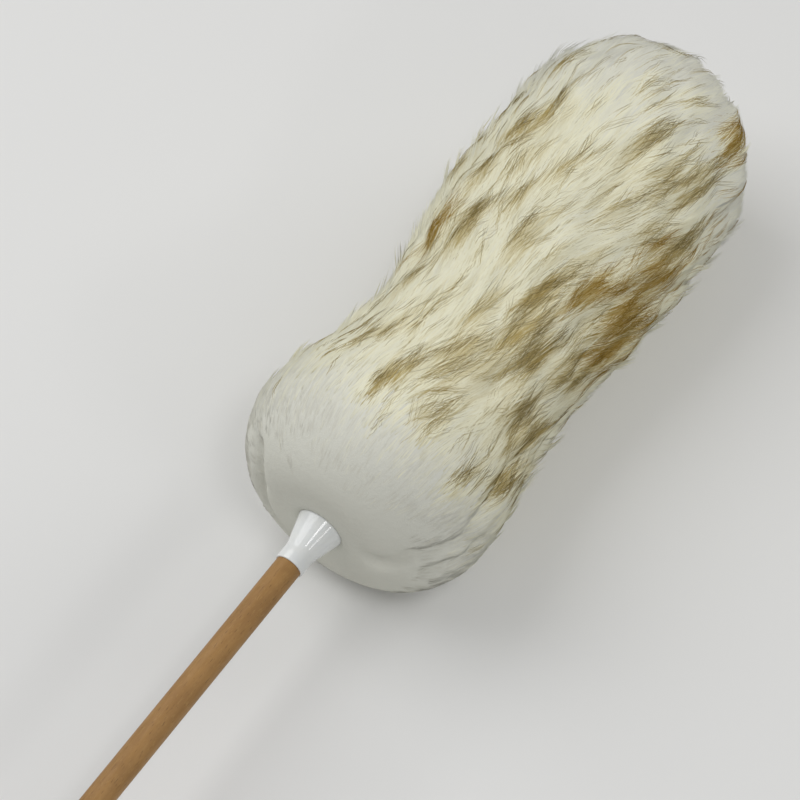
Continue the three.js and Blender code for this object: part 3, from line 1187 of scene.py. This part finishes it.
@dataclass(frozen=True)
class Combing:
    """The way the wool lies: from the ferrule towards the tip, swept a little round the rod."""

    form: FleeceForm
    sweep: float = 0.23
    tip_sweep: float = 0.35
    tip_from: float = 300.0 * MM
    tip_to: float = 420.0 * MM
    drift: float = 0.26
    drifts: SpaceNoise = SpaceNoise((26.0, 20.0, 26.0), 1.7)
    ruffle: float = 0.24
    ruffles: SpaceNoise = SpaceNoise((85.0, 45.0, 85.0), 2.9)

    def angles(self, lengths: Array, turns: Array) -> Array:
        """Works out the angle of the wool to the rod.

        Args:
            lengths: Distances along the outline.
            turns: Turns about the rod.

        Returns:
            Angles in radians, positive towards growing turns.
        """
        points, _ = self.form.place(lengths, turns, np.zeros_like(lengths))
        strays = self.drift * self.drifts.at(points) + self.ruffle * self.ruffles.at(points)
        tip = self.tip_sweep * smooth_step(self.tip_from, self.tip_to, lengths)
        return (self.sweep + strays) * self.form.fullness(lengths) + tip


@dataclass(frozen=True)
class Markings:
    """Where the wool is golden and tipped with brown: the typed patches, and clouds of noise round them."""

    form: FleeceForm
    slant: float = 0.23
    longer: float = 1.28
    wider: float = 1.08
    clouds_from: float = 45.0 * MM
    clouds_to: float = 85.0 * MM
    clouds: SpaceNoise = SpaceNoise((48.0, 24.0, 48.0), 3.1)
    clumps: SpaceNoise = SpaceNoise((140.0, 50.0, 140.0), 9.4)
    clump_share: float = 0.5
    cloud_levels: tuple[float, float] = (0.1, 0.7)
    cloud_tint: float = 0.27
    far_middle: float = 0.34
    far_levels: tuple[float, float] = (1.75, 2.1)
    far_tint: float = 0.5
    far_edge: float = 0.5
    far_warmth: SpaceNoise = SpaceNoise((15.0, 15.0, 15.0), 2.2)
    far_warm_from: float = 0.15
    broad_streaks: SpaceNoise = SpaceNoise((190.0, 30.0, 60.0), 7.7)
    fine_streaks: SpaceNoise = SpaceNoise((480.0, 55.0, 60.0), 1.3)
    fine_share: float = 0.9
    streak_depth: float = 1.3
    stray_streaks: float = 0.14

    def at(self, points: Array) -> tuple[Array, Array, Array]:
        """Works out the colour of the wool at places on it.

        Args:
            points: Places, one a row.

        Returns:
            Soft golden tint and brownness in streaks, both from 0 to 1, and whether the brown is warm.
        """
        along = points[:, 1] - self.form.rim_y
        across = points[:, 0] - self.form.lean_at(points[:, 1])
        upright = points[:, 2] - self.form.axis_z
        turns = np.arctan2(across, upright)
        radii = np.hypot(across, upright)
        tint, warm = self._patches(along, turns, radii)
        started = smooth_step(self.clouds_from, self.clouds_to, along)
        patchy = self.clouds.at(points) + self.clump_share * self.clumps.at(points)
        far = smooth_step(*self.far_levels, np.abs(turns - self.far_middle))
        cloudy = started * smooth_step(*self.cloud_levels, patchy) * (self.cloud_tint + self.far_tint * far)
        tint = np.maximum(tint, cloudy)
        cosine, sine = math.cos(self.slant), math.sin(self.slant)
        girth = turns * radii
        combed = np.stack([girth * cosine - along * sine, along * cosine + girth * sine, radii], axis=-1)
        streaks = self.broad_streaks.at(combed) + self.fine_share * self.fine_streaks.at(combed)
        brown = tint * (1.0 + self.streak_depth * streaks) + self.stray_streaks * started * streaks
        warm = np.where(far > self.far_edge, self.far_warmth.at(points) > self.far_warm_from, warm)
        return np.clip(tint, 0.0, 1.0), np.clip(brown, 0.0, 1.0), warm

    def _patches(self, along: Array, turns: Array, radii: Array) -> tuple[Array, Array]:
        """Lays the brown patches over one another.

        Args:
            along: Distances along Y from the ferrule's rim.
            turns: Turns about the rod.
            radii: Distances from the rod's axis.

        Returns:
            Tint, and whether it is warm.
        """
        cosine, sine = math.cos(self.slant), math.sin(self.slant)
        tint = np.zeros(len(along))
        warm = np.zeros(len(along), dtype=bool)
        for patch in BROWN_PATCHES:
            ahead = along - patch.along * MM
            aside = turn_gap(turns, patch.turn) * radii
            run = (ahead * cosine + aside * sine) / (self.longer * patch.length * MM)
            off = (aside * cosine - ahead * sine) / (self.wider * patch.width * MM)
            weight = patch.strength * np.exp(-run * run - off * off)
            warm = np.where(weight > tint, patch.warm, warm)
            tint = np.maximum(tint, weight) + tint * np.minimum(weight, 0.0)
        return tint, warm


@dataclass(frozen=True)
class StrandMaker:
    """Turns the courses of strands into meshes of closed, tapered, three-sided strands."""

    finish: WoolFinish
    material: Material
    radius: float
    bands: int
    taper_places: tuple[float, ...] = (0.0, 0.35, 0.7, 1.0)
    tapers: tuple[float, ...] = (0.9, 1.0, 0.75, 0.3)
    normal_share: float = 0.96
    sizes: tuple[float, float] = (0.8, 0.4)
    map_margin: float = 0.002
    map_corners: tuple[float, float, float] = (0.2, 0.5, 0.8)

    def build(self, name: str, points: Array, normals: Array, columns: Array,
              rng: np.random.Generator) -> None:
        """Makes the pieces: bands of strands from the ferrule to the tip.

        Args:
            name: Name of the pieces, to which a number is added.
            points: Points of each strand from root to tip.
            normals: Surface normals at those points.
            columns: Colour place of each strand.
            rng: Random numbers.
        """
        order = np.argsort(points[:, 0, 1], kind="stable")
        for number, chosen in enumerate(np.array_split(order, self.bands), start=1):
            mesh = self._mesh(f"{name}_{number}", points[chosen], normals[chosen], columns[chosen], rng)
            piece = bpy.data.objects.new(mesh.name, mesh)
            bpy.context.scene.collection.objects.link(piece)
            dress(piece, self.material)
            piece.visible_shadow = False
            piece.visible_diffuse = False

    def _mesh(self, name: str, points: Array, normals: Array, columns: Array,
              rng: np.random.Generator) -> bpy.types.Mesh:
        """Makes one mesh of strands, shaded softly with the wool's form.

        Args:
            name: Name of the mesh.
            points: Points of each strand.
            normals: Surface normals at those points.
            columns: Colour place of each strand.
            rng: Random numbers.

        Returns:
            The mesh.
        """
        count, rows = points.shape[:2]
        parts = np.linspace(0.0, 1.0, rows)
        ways = np.gradient(points, axis=1)
        ways /= np.maximum(np.linalg.norm(ways, axis=2, keepdims=True), TINY)
        across = np.cross(ways, normals)
        across /= np.maximum(np.linalg.norm(across, axis=2, keepdims=True), TINY)
        upward = np.cross(across, ways)
        least, more = self.sizes
        size = self.radius * (least + more * rng.random(count))
        turn = rng.random(count) * math.tau
        rings, facing = [], []
        for row, taper in enumerate(np.interp(parts[:-1], self.taper_places, self.tapers)):
            for corner in range(3):
                angle = turn + corner * math.tau / 3.0
                offset = across[:, row] * np.cos(angle)[:, None] + upward[:, row] * np.sin(angle)[:, None]
                rings.append(points[:, row] + offset * (size * taper)[:, None])
                facing.append(normals[:, row] * self.normal_share + offset * (1.0 - self.normal_share))
        rings.append(points[:, -1])
        facing.append(normals[:, -1])
        vertices = np.stack(rings, axis=1).reshape(-1, 3)
        facing = np.stack(facing, axis=1).reshape(-1, 3)
        facing /= np.linalg.norm(facing, axis=1, keepdims=True)

        sides = ((0, 1), (1, 2), (2, 0))
        last = 3 * rows - 6
        faces = [(row + b, row + a, row + 3 + a, row + 3 + b) for row in range(0, last, 3) for a, b in sides]
        faces += [(last + b, last + a, last + 3) for a, b in sides] + [(0, 1, 2)]
        corners = np.array([corner for face in faces for corner in face])
        loops = (np.arange(count)[:, None] * (last + 4) + corners[None, :]).ravel()
        sizes = np.tile([len(face) for face in faces], count)

        mesh = bpy.data.meshes.new(name)
        mesh.vertices.add(len(vertices))
        mesh.vertices.foreach_set("co", vertices.ravel())
        mesh.loops.add(len(loops))
        mesh.loops.foreach_set("vertex_index", loops)
        mesh.polygons.add(len(sizes))
        mesh.polygons.foreach_set("loop_start", np.concatenate([[0], np.cumsum(sizes)[:-1]]))
        mesh.polygons.foreach_set("use_smooth", np.ones(len(sizes), dtype=bool))
        shift = np.array(self.map_corners)[corners % 3]
        us = (np.floor(columns * self.finish.columns)[:, None] + shift[None, :]) / self.finish.columns
        heights = np.append(np.repeat(parts[:-1], 3), 1.0)
        vs = np.clip(heights[corners], self.map_margin, 1.0 - self.map_margin)
        layer = mesh.uv_layers.new(name=self.finish.map_name)
        layer.data.foreach_set("uv", np.stack([us, np.broadcast_to(vs, us.shape)], axis=-1).ravel())
        mesh.update(calc_edges=True)
        mesh.validate()
        mesh.normals_split_custom_set_from_vertices(facing)
        return mesh


def spread_places(form: FleeceForm, count: int, start: float) -> tuple[Array, Array]:
    """Spreads places evenly over the wool.

    Args:
        form: The wool's form.
        count: Number of places.
        start: Shifts the pattern, from 0 to 1.

    Returns:
        Distance along the outline and angle about the rod of each place.
    """
    index = np.arange(count)
    first, second = ((start + index * step) % 1.0 for step in EVEN_STEPS)
    rings = (form.radii[1:] + form.radii[:-1]) / 2 * np.diff(form.lengths)
    area = np.concatenate([[0.0], np.cumsum(rings)])
    return np.interp(first * area[-1], area, form.lengths), second * math.tau


@dataclass
class WoolLocks:
    """The coat: locks of tapered strands, combed from the ferrule to the tip and tinted by the markings.

    Sizes that differ between the smooth base and the crown are pairs: the base's, and what the crown adds.
    """

    form: FleeceForm
    undercoat: Undercoat
    combing: Combing
    markings: Markings
    seed: int = 7
    pattern_start: float = 0.5
    lock_count: int = 9000
    strands_per_lock: int = 9
    strands_per_wisp: int = 3
    lock_radius: float = 2.9 * MM
    lock_gather: float = 0.75
    lock_stray: float = 0.06
    lock_stray_share: tuple[float, float] = (0.3, 1.0)
    wisp_radius: float = 0.9 * MM
    wisp_gather: float = 0.3
    wisp_stray: float = 0.12
    wisp_bow: float = 1.1 * MM
    wisp_share: tuple[float, float] = (0.4, 0.6)
    strand_stray: float = 0.02
    reach: tuple[float, float] = (13.0 * MM, 15.0 * MM)
    lock_reach_spread: float = 0.15
    strand_reach_spread: float = 0.10
    least_lift: float = 0.2 * MM
    lock_lift: tuple[float, float] = (0.1 * MM, 0.4 * MM)
    strand_lift: tuple[float, float] = (0.1 * MM, 0.2 * MM)
    tousled_share: float = 0.08
    tousled_lift: float = 5.5 * MM
    root_depth: float = 0.8 * MM
    rise_power: float = 1.3
    parts: tuple[float, ...] = (0.0, 1.0 / 3.0, 2.0 / 3.0, 1.0)
    cream_level: float = 0.65
    tint_share: float = 0.58
    golden_power: float = 1.25
    grey_base: tuple[float, float] = (10.0 * MM, 100.0 * MM)
    grey_tip: tuple[float, float] = (240.0 * MM, 330.0 * MM)
    grey_tip_share: float = 0.75
    strand_shade: float = 0.03
    wisp_shade: float = 0.06
    palest: float = 0.98
    starts_from: float = 25.0 * MM
    starts_to: float = 64.0 * MM
    floor_gap: float = 0.4 * MM
    root_gap: float = 0.2 * MM

    def build(self, strands: StrandMaker) -> None:
        """Models the locks.

        Args:
            strands: Makes the meshes.
        """
        rng = np.random.default_rng(self.seed)
        lengths, turns = spread_places(self.form, self.lock_count, self.pattern_start)
        kept = rng.random(lengths.size) < smooth_step(self.starts_from, self.starts_to, lengths)
        points, normals = self._courses(lengths[kept], turns[kept], rng)
        strands.build("wool_band", points, normals, self._columns(points, rng), rng)

    def _columns(self, points: Array, rng: np.random.Generator) -> Array:
        """Picks each strand's place among the colour columns.

        Args:
            points: Points of each strand.
            rng: Random numbers.

        Returns:
            A place from 0 to 1.
        """
        each = self.strands_per_wisp
        count = len(points)
        tips = points[:, -1].reshape(-1, each, 3).mean(axis=1)
        middles = points[:, -2].reshape(-1, each, 3).mean(axis=1)
        tint, brown, _ = (np.repeat(level, each) for level in self.markings.at((tips + middles) / 2))
        golden = (self.tint_share * tint + (1.0 - self.tint_share) * brown) ** self.golden_power
        along = points[:, -1, 1] - self.form.rim_y
        tip_grey = self.grey_tip_share * smooth_step(*self.grey_tip, along)
        greyness = 1.0 - smooth_step(*self.grey_base, along) * (1.0 - tip_grey)
        level = self.cream_level + (1.0 - self.cream_level) * greyness * (1.0 - golden)
        level += self.strand_shade * rng.normal(size=count) - self.cream_level * golden
        level += np.repeat(self.wisp_shade * rng.normal(size=count // each), each)
        return WoolKind.COAT.column(np.clip(level, 0.0, self.palest))

    def _courses(self, lengths: Array, turns: Array, rng: np.random.Generator) -> tuple[Array, Array]:
        """Lays the strands of every lock over the wool's surface.

        Args:
            lengths: Distance along the outline of each lock.
            turns: Angle of each lock.
            rng: Random numbers.

        Returns:
            Points of each strand from root to tip, and the surface normals there.
        """
        def spread(values: Array) -> Array:
            """Repeats a lock's value for each of its strands."""
            return np.repeat(values, self.strands_per_lock)

        def shared(values: Array) -> Array:
            """Repeats a wisp's value for each of its strands."""
            return np.repeat(values, self.strands_per_wisp)

        def grown(sizes: tuple[float, float]) -> Array:
            """Grows a size from the base to the crown."""
            return sizes[0] + sizes[1] * full

        size = lengths.size
        count = size * self.strands_per_lock
        wisps = count // self.strands_per_wisp
        full = self.form.fullness(lengths)
        angle = self.combing.angles(lengths, turns)
        angle = angle + rng.normal(0.0, self.lock_stray, size) * grown(self.lock_stray_share)
        reach = grown(self.reach) * (1.0 + self.lock_reach_spread * rng.normal(size=size))
        lift = grown(self.lock_lift) * rng.normal(size=size) + self.least_lift
        lift += (rng.random(size) < self.tousled_share) * full * rng.random(size) * self.tousled_lift
        around = rng.random(wisps) * math.tau
        out = np.sqrt(rng.random(wisps)) * self.lock_radius
        wisp_side, wisp_fore = shared(out * np.cos(around)), shared(out * np.sin(around))
        own_side = rng.normal(0.0, self.wisp_radius, count)
        own_fore = rng.normal(0.0, self.wisp_radius, count)
        full = spread(full)
        lock_close = 1.0 + (self.lock_gather - 1.0) * full
        wisp_close = 1.0 + (self.wisp_gather - 1.0) * full
        depth = spread(self.undercoat.depth_at(lengths)) + self.root_depth
        angle = spread(angle) + rng.normal(0.0, self.strand_stray, count)
        angle += shared(rng.normal(0.0, self.wisp_stray, wisps)) * grown(self.wisp_share)
        reach = spread(reach) * (1.0 + self.strand_reach_spread * rng.normal(size=count))
        top = spread(lift) + grown(self.strand_lift) * rng.normal(size=count)
        bow = shared(rng.normal(0.0, self.wisp_bow, wisps)) * grown(self.wisp_share)
        radii, lengths, turns = spread(self.form.radius_at(lengths)), spread(lengths), spread(turns)
        rows = []
        for part in self.parts:
            lock_now = 1.0 + (lock_close - 1.0) * part
            wisp_now = 1.0 + (wisp_close - 1.0) * part
            ahead = reach * part * np.cos(angle) + wisp_fore * lock_now + own_fore * wisp_now
            aside = reach * part * np.sin(angle) + wisp_side * lock_now + own_side * wisp_now
            aside += bow * math.sin(math.pi * part)
            height = -depth + (depth + top) * (1.0 - (1.0 - part) ** self.rise_power)
            place, normal = self.form.place(np.maximum(lengths + ahead, 0.0), turns + aside / radii, height)
            place[:, 2] = np.maximum(place[:, 2], self.floor_gap + (1.0 - part) * self.root_gap)
            rows.append((place, normal))
        points, normals = (np.stack(row, axis=1) for row in zip(*rows))
        return points, normals


@dataclass
class BrownWisps:
    """Long, wavy brown hairs that lie in wisps over the coat, where the markings are."""

    form: FleeceForm
    combing: Combing
    markings: Markings
    seed: int = 23
    pattern_start: float = 0.2
    places: int = 32000
    hairs_per_wisp: int = 4
    points_per_hair: int = 6
    patch_share: float = 0.56
    patch_levels: tuple[float, float] = (0.12, 0.8)
    stray_share: float = 0.028
    strays_start: tuple[float, float] = (60.0 * MM, 100.0 * MM)
    strays_thin: tuple[float, float] = (300.0 * MM, 380.0 * MM)
    thinning: float = 0.4
    reach: float = 20.0 * MM
    reach_range: tuple[float, float] = (0.6, 0.8)
    spread: float = 1.5 * MM
    least_spread: float = 0.4
    spread_along: float = 2.0
    gather: float = 0.45
    stray: float = 0.20
    hair_stray: float = 0.05
    wave: float = 0.5 * MM
    wave_spread: float = 0.3
    wave_length: float = 11.0 * MM
    phase_spread: float = 0.4
    lift: float = 0.6 * MM
    least_lift: float = 0.3
    root_depth: float = 2.0 * MM
    rise_power: int = 4
    depth_range: tuple[float, float] = (0.3, 0.4)
    depth_spread: float = 0.2
    deepest: float = 0.99
    floor_gap: float = 0.4 * MM

    def build(self, strands: StrandMaker) -> None:
        """Models the wisps.

        Args:
            strands: Makes the meshes.
        """
        rng = np.random.default_rng(self.seed)
        lengths, turns = spread_places(self.form, self.places, self.pattern_start)
        angles = self.combing.angles(lengths, turns) + rng.normal(0.0, self.stray, self.places)
        shortest, longer = self.reach_range
        reach = self.reach * (shortest + longer * rng.random(self.places))
        halfway = reach / 2
        aside = halfway * np.sin(angles) / self.form.radius_at(lengths)
        middle, _ = self.form.place(lengths + halfway * np.cos(angles), turns + aside, np.zeros(self.places))
        _, brown, warm = self.markings.at(middle)
        strays = self.stray_share * smooth_step(*self.strays_start, lengths)
        strays = strays * (1.0 - self.thinning * smooth_step(*self.strays_thin, lengths))
        odds = self.patch_share * smooth_step(*self.patch_levels, brown) + strays
        kept = rng.random(self.places) < odds
        points, normals = self._courses(lengths[kept], turns[kept], angles[kept], reach[kept], rng)
        columns = self._columns(brown[kept], warm[kept], rng)
        strands.build("brown_wisps", points, normals, columns, rng)

    def _shared(self, values: Array) -> Array:
        """Repeats a wisp's value for each of its hairs."""
        return np.repeat(values, self.hairs_per_wisp)

    def _columns(self, brown: Array, warm: Array, rng: np.random.Generator) -> Array:
        """Picks each hair's place among the colour columns.

        Args:
            brown: Brownness at each wisp.
            warm: Whether each wisp is a warm brown.
            rng: Random numbers.

        Returns:
            A place from 0 to 1 for each hair.
        """
        palest, deeper = self.depth_range
        depth = self._shared(palest + deeper * brown)
        depth = np.clip(depth + self.depth_spread * rng.normal(size=depth.size), 0.0, self.deepest)
        return np.where(self._shared(warm), WoolKind.WARM.column(depth), WoolKind.OLIVE.column(depth))

    def _courses(self, lengths: Array, turns: Array, angles: Array, reach: Array,
                 rng: np.random.Generator) -> tuple[Array, Array]:
        """Lays the hairs of every wisp over the coat.

        Args:
            lengths: Distance along the outline of each wisp.
            turns: Turn of each wisp about the rod.
            angles: Angle of each wisp to the rod.
            reach: Length of each wisp.
            rng: Random numbers.

        Returns:
            Points of each hair from root to tip, and the surface normals there.
        """
        shared = self._shared
        wisps = lengths.size
        count = wisps * self.hairs_per_wisp
        spread = shared(self.spread * (self.least_spread + rng.random(wisps)))
        side = spread * rng.normal(size=count)
        fore = self.spread_along * spread * rng.normal(size=count)
        wave = shared(self.wave * rng.normal(size=wisps)) * (1.0 + self.wave_spread * rng.normal(size=count))
        phase = shared(rng.random(wisps) * math.tau) + rng.normal(0.0, self.phase_spread, count)
        lift = shared(self.lift * (self.least_lift + rng.random(wisps)))
        angles = shared(angles) + rng.normal(0.0, self.hair_stray, count)
        radii, reach = shared(self.form.radius_at(lengths)), shared(reach)
        lengths, turns = shared(lengths), shared(turns)
        rows = []
        for part in np.linspace(0.0, 1.0, self.points_per_hair):
            close = 1.0 + (self.gather - 1.0) * part
            run = reach * part
            ahead = run * np.cos(angles) + fore * close
            aside = run * np.sin(angles) + side * close
            aside += wave * np.sin(math.tau * run / self.wave_length + phase)
            height = lift - (self.root_depth + lift) * (1.0 - part) ** self.rise_power
            place, normal = self.form.place(np.maximum(lengths + ahead, 0.0), turns + aside / radii, height)
            place[:, 2] = np.maximum(place[:, 2], self.floor_gap)
            rows.append((place, normal))
        points, normals = (np.stack(row, axis=1) for row in zip(*rows))
        return points, normals


@dataclass(frozen=True)
class Softbox:
    """An area lamp that faces the duster, its size given along the rod and across it."""

    name: str
    towards: tuple[float, float, float]
    distance: float
    size: tuple[float, float]
    power: float

    def build(self, target: Vector) -> None:
        """Hangs the lamp.

        Args:
            target: Point that it faces.
        """
        data = bpy.data.lights.new(self.name, "AREA")
        data.shape = "RECTANGLE"
        data.size, data.size_y = self.size
        data.energy = self.power
        lamp = bpy.data.objects.new(self.name, data)
        direction = Vector(self.towards).normalized()
        lengthwise = Vector((0.0, 1.0, 0.0))
        lengthwise = (lengthwise - direction * lengthwise.dot(direction)).normalized()
        turned = Matrix((lengthwise, direction.cross(lengthwise), direction)).transposed()
        lamp.location = target + direction * self.distance
        lamp.rotation_euler = turned.to_euler()
        bpy.context.scene.collection.objects.link(lamp)


@dataclass
class Studio:
    """Pale floor, soft light and the photograph's camera."""

    image_size: float = 800.0
    azimuth: float = 35.0
    elevation: float = 58.5
    focal_pixels: float = 3700.0
    sensor_width: float = 36.0
    sleeve_pixel: tuple[float, float] = (288.4, 566.6)
    rod_pixels: float = 28.4
    sight: float = 50.0
    floor_size: float = 12.0
    world_level: float = 0.36

    def build(self) -> None:
        """Sets up the camera, the lamps, the world and the floor."""
        self._camera()
        softboxes = (
            Softbox("key_softbox", (-0.64, -0.14, 0.76), 1.6, (1.3, 1.3), 13.2),
            Softbox("side_softbox", (0.45, 0.72, 0.55), 1.6, (0.9, 0.9), 5.5),
        )
        strips = (
            Softbox("overhead_strip", (0.37, -0.155, 0.915), 1.0, (0.30, 0.17), 1.3),
            Softbox("side_strip", (0.80, -0.13, 0.587), 1.0, (0.30, 0.09), 0.6),
        )
        for lamps, node in ((softboxes, "fleece"), (strips, "ferrule")):
            low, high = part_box(node)
            for lamp in lamps:
                lamp.build((Vector(low) + Vector(high)) / 2)
        self._world()
        self._floor()

    def _camera(self) -> None:
        """Stands the camera where the end of the sleeve falls on its pixel."""
        rod_low, rod_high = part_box("handle_rod")
        ferrule_low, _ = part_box("ferrule")
        rod_width = rod_high[0] - rod_low[0]
        sleeve = Vector((0.0, ferrule_low[1], (rod_low[2] + rod_high[2]) / 2))
        turn, rise = math.radians(self.azimuth), math.radians(self.elevation)
        right = Vector((math.cos(turn), math.sin(turn), 0.0))
        level = Vector((-math.sin(turn), math.cos(turn), 0.0))
        ahead = level * math.cos(rise) - Vector((0.0, 0.0, math.sin(rise)))
        up = level * math.sin(rise) + Vector((0.0, 0.0, math.cos(rise)))
        depth = rod_width * self.focal_pixels / self.rod_pixels
        across = (self.sleeve_pixel[0] - self.image_size / 2) / self.focal_pixels * depth
        down = (self.sleeve_pixel[1] - self.image_size / 2) / self.focal_pixels * depth
        data = bpy.data.cameras.new("photo_camera")
        data.sensor_width = self.sensor_width
        data.lens = self.focal_pixels / self.image_size * self.sensor_width
        data.clip_end = self.sight
        camera = bpy.data.objects.new("photo_camera", data)
        camera.location = sleeve - right * across + up * down - ahead * depth
        camera.rotation_euler = ahead.to_track_quat("-Z", "Y").to_euler()
        bpy.context.scene.collection.objects.link(camera)
        bpy.context.scene.camera = camera

    def _world(self) -> None:
        """Fills the shadows with even light."""
        world = bpy.data.worlds.new("studio")
        world.use_nodes = True
        sky = next(node for node in world.node_tree.nodes if node.type == "BACKGROUND")
        sky.inputs["Color"].default_value = shade(1.0, 1.0, 1.0)
        sky.inputs["Strength"].default_value = self.world_level
        bpy.context.scene.world = world

    def _floor(self) -> None:
        """Lays the floor."""
        deselect_all()
        bpy.ops.mesh.primitive_plane_add(size=self.floor_size, location=(0.0, 0.0, 0.0))
        floor = bpy.context.object
        floor.name = "pale_floor"
        floor.data.materials.append(FloorFinish().material())


def main() -> None:
    """Builds the duster piece by piece."""
    logging.basicConfig(level=logging.INFO, format="%(name)s: %(message)s")
    bpy.context.scene.view_settings.view_transform = "Standard"
    patterns = SurfacePatterns()
    Studio().build()
    Rod().build(WoodFinish().material(patterns))
    FerruleShell().build(PLASTIC.material(patterns))
    repaint_node("hide_strip", HIDE.material(patterns))
    steel = STEEL.material(patterns)
    for staple in ("base_staple", "tip_staple"):
        repaint_node(staple, steel)
    form = FleeceForm()
    undercoat = Undercoat(form)
    undercoat.build(UndercoatFinish().material(patterns, form.rim_y))
    wool = WoolFinish()
    strands = wool.material()
    combing = Combing(form)
    markings = Markings(form)
    coat = WoolLocks(form, undercoat, combing, markings)
    coat.build(StrandMaker(wool, strands, radius=COAT_RADIUS, bands=8))
    wisps = BrownWisps(form, combing, markings)
    wisps.build(StrandMaker(wool, strands, radius=HAIR_RADIUS, bands=4, tapers=HAIR_TAPERS))


if __name__ == "__main__":
    main()
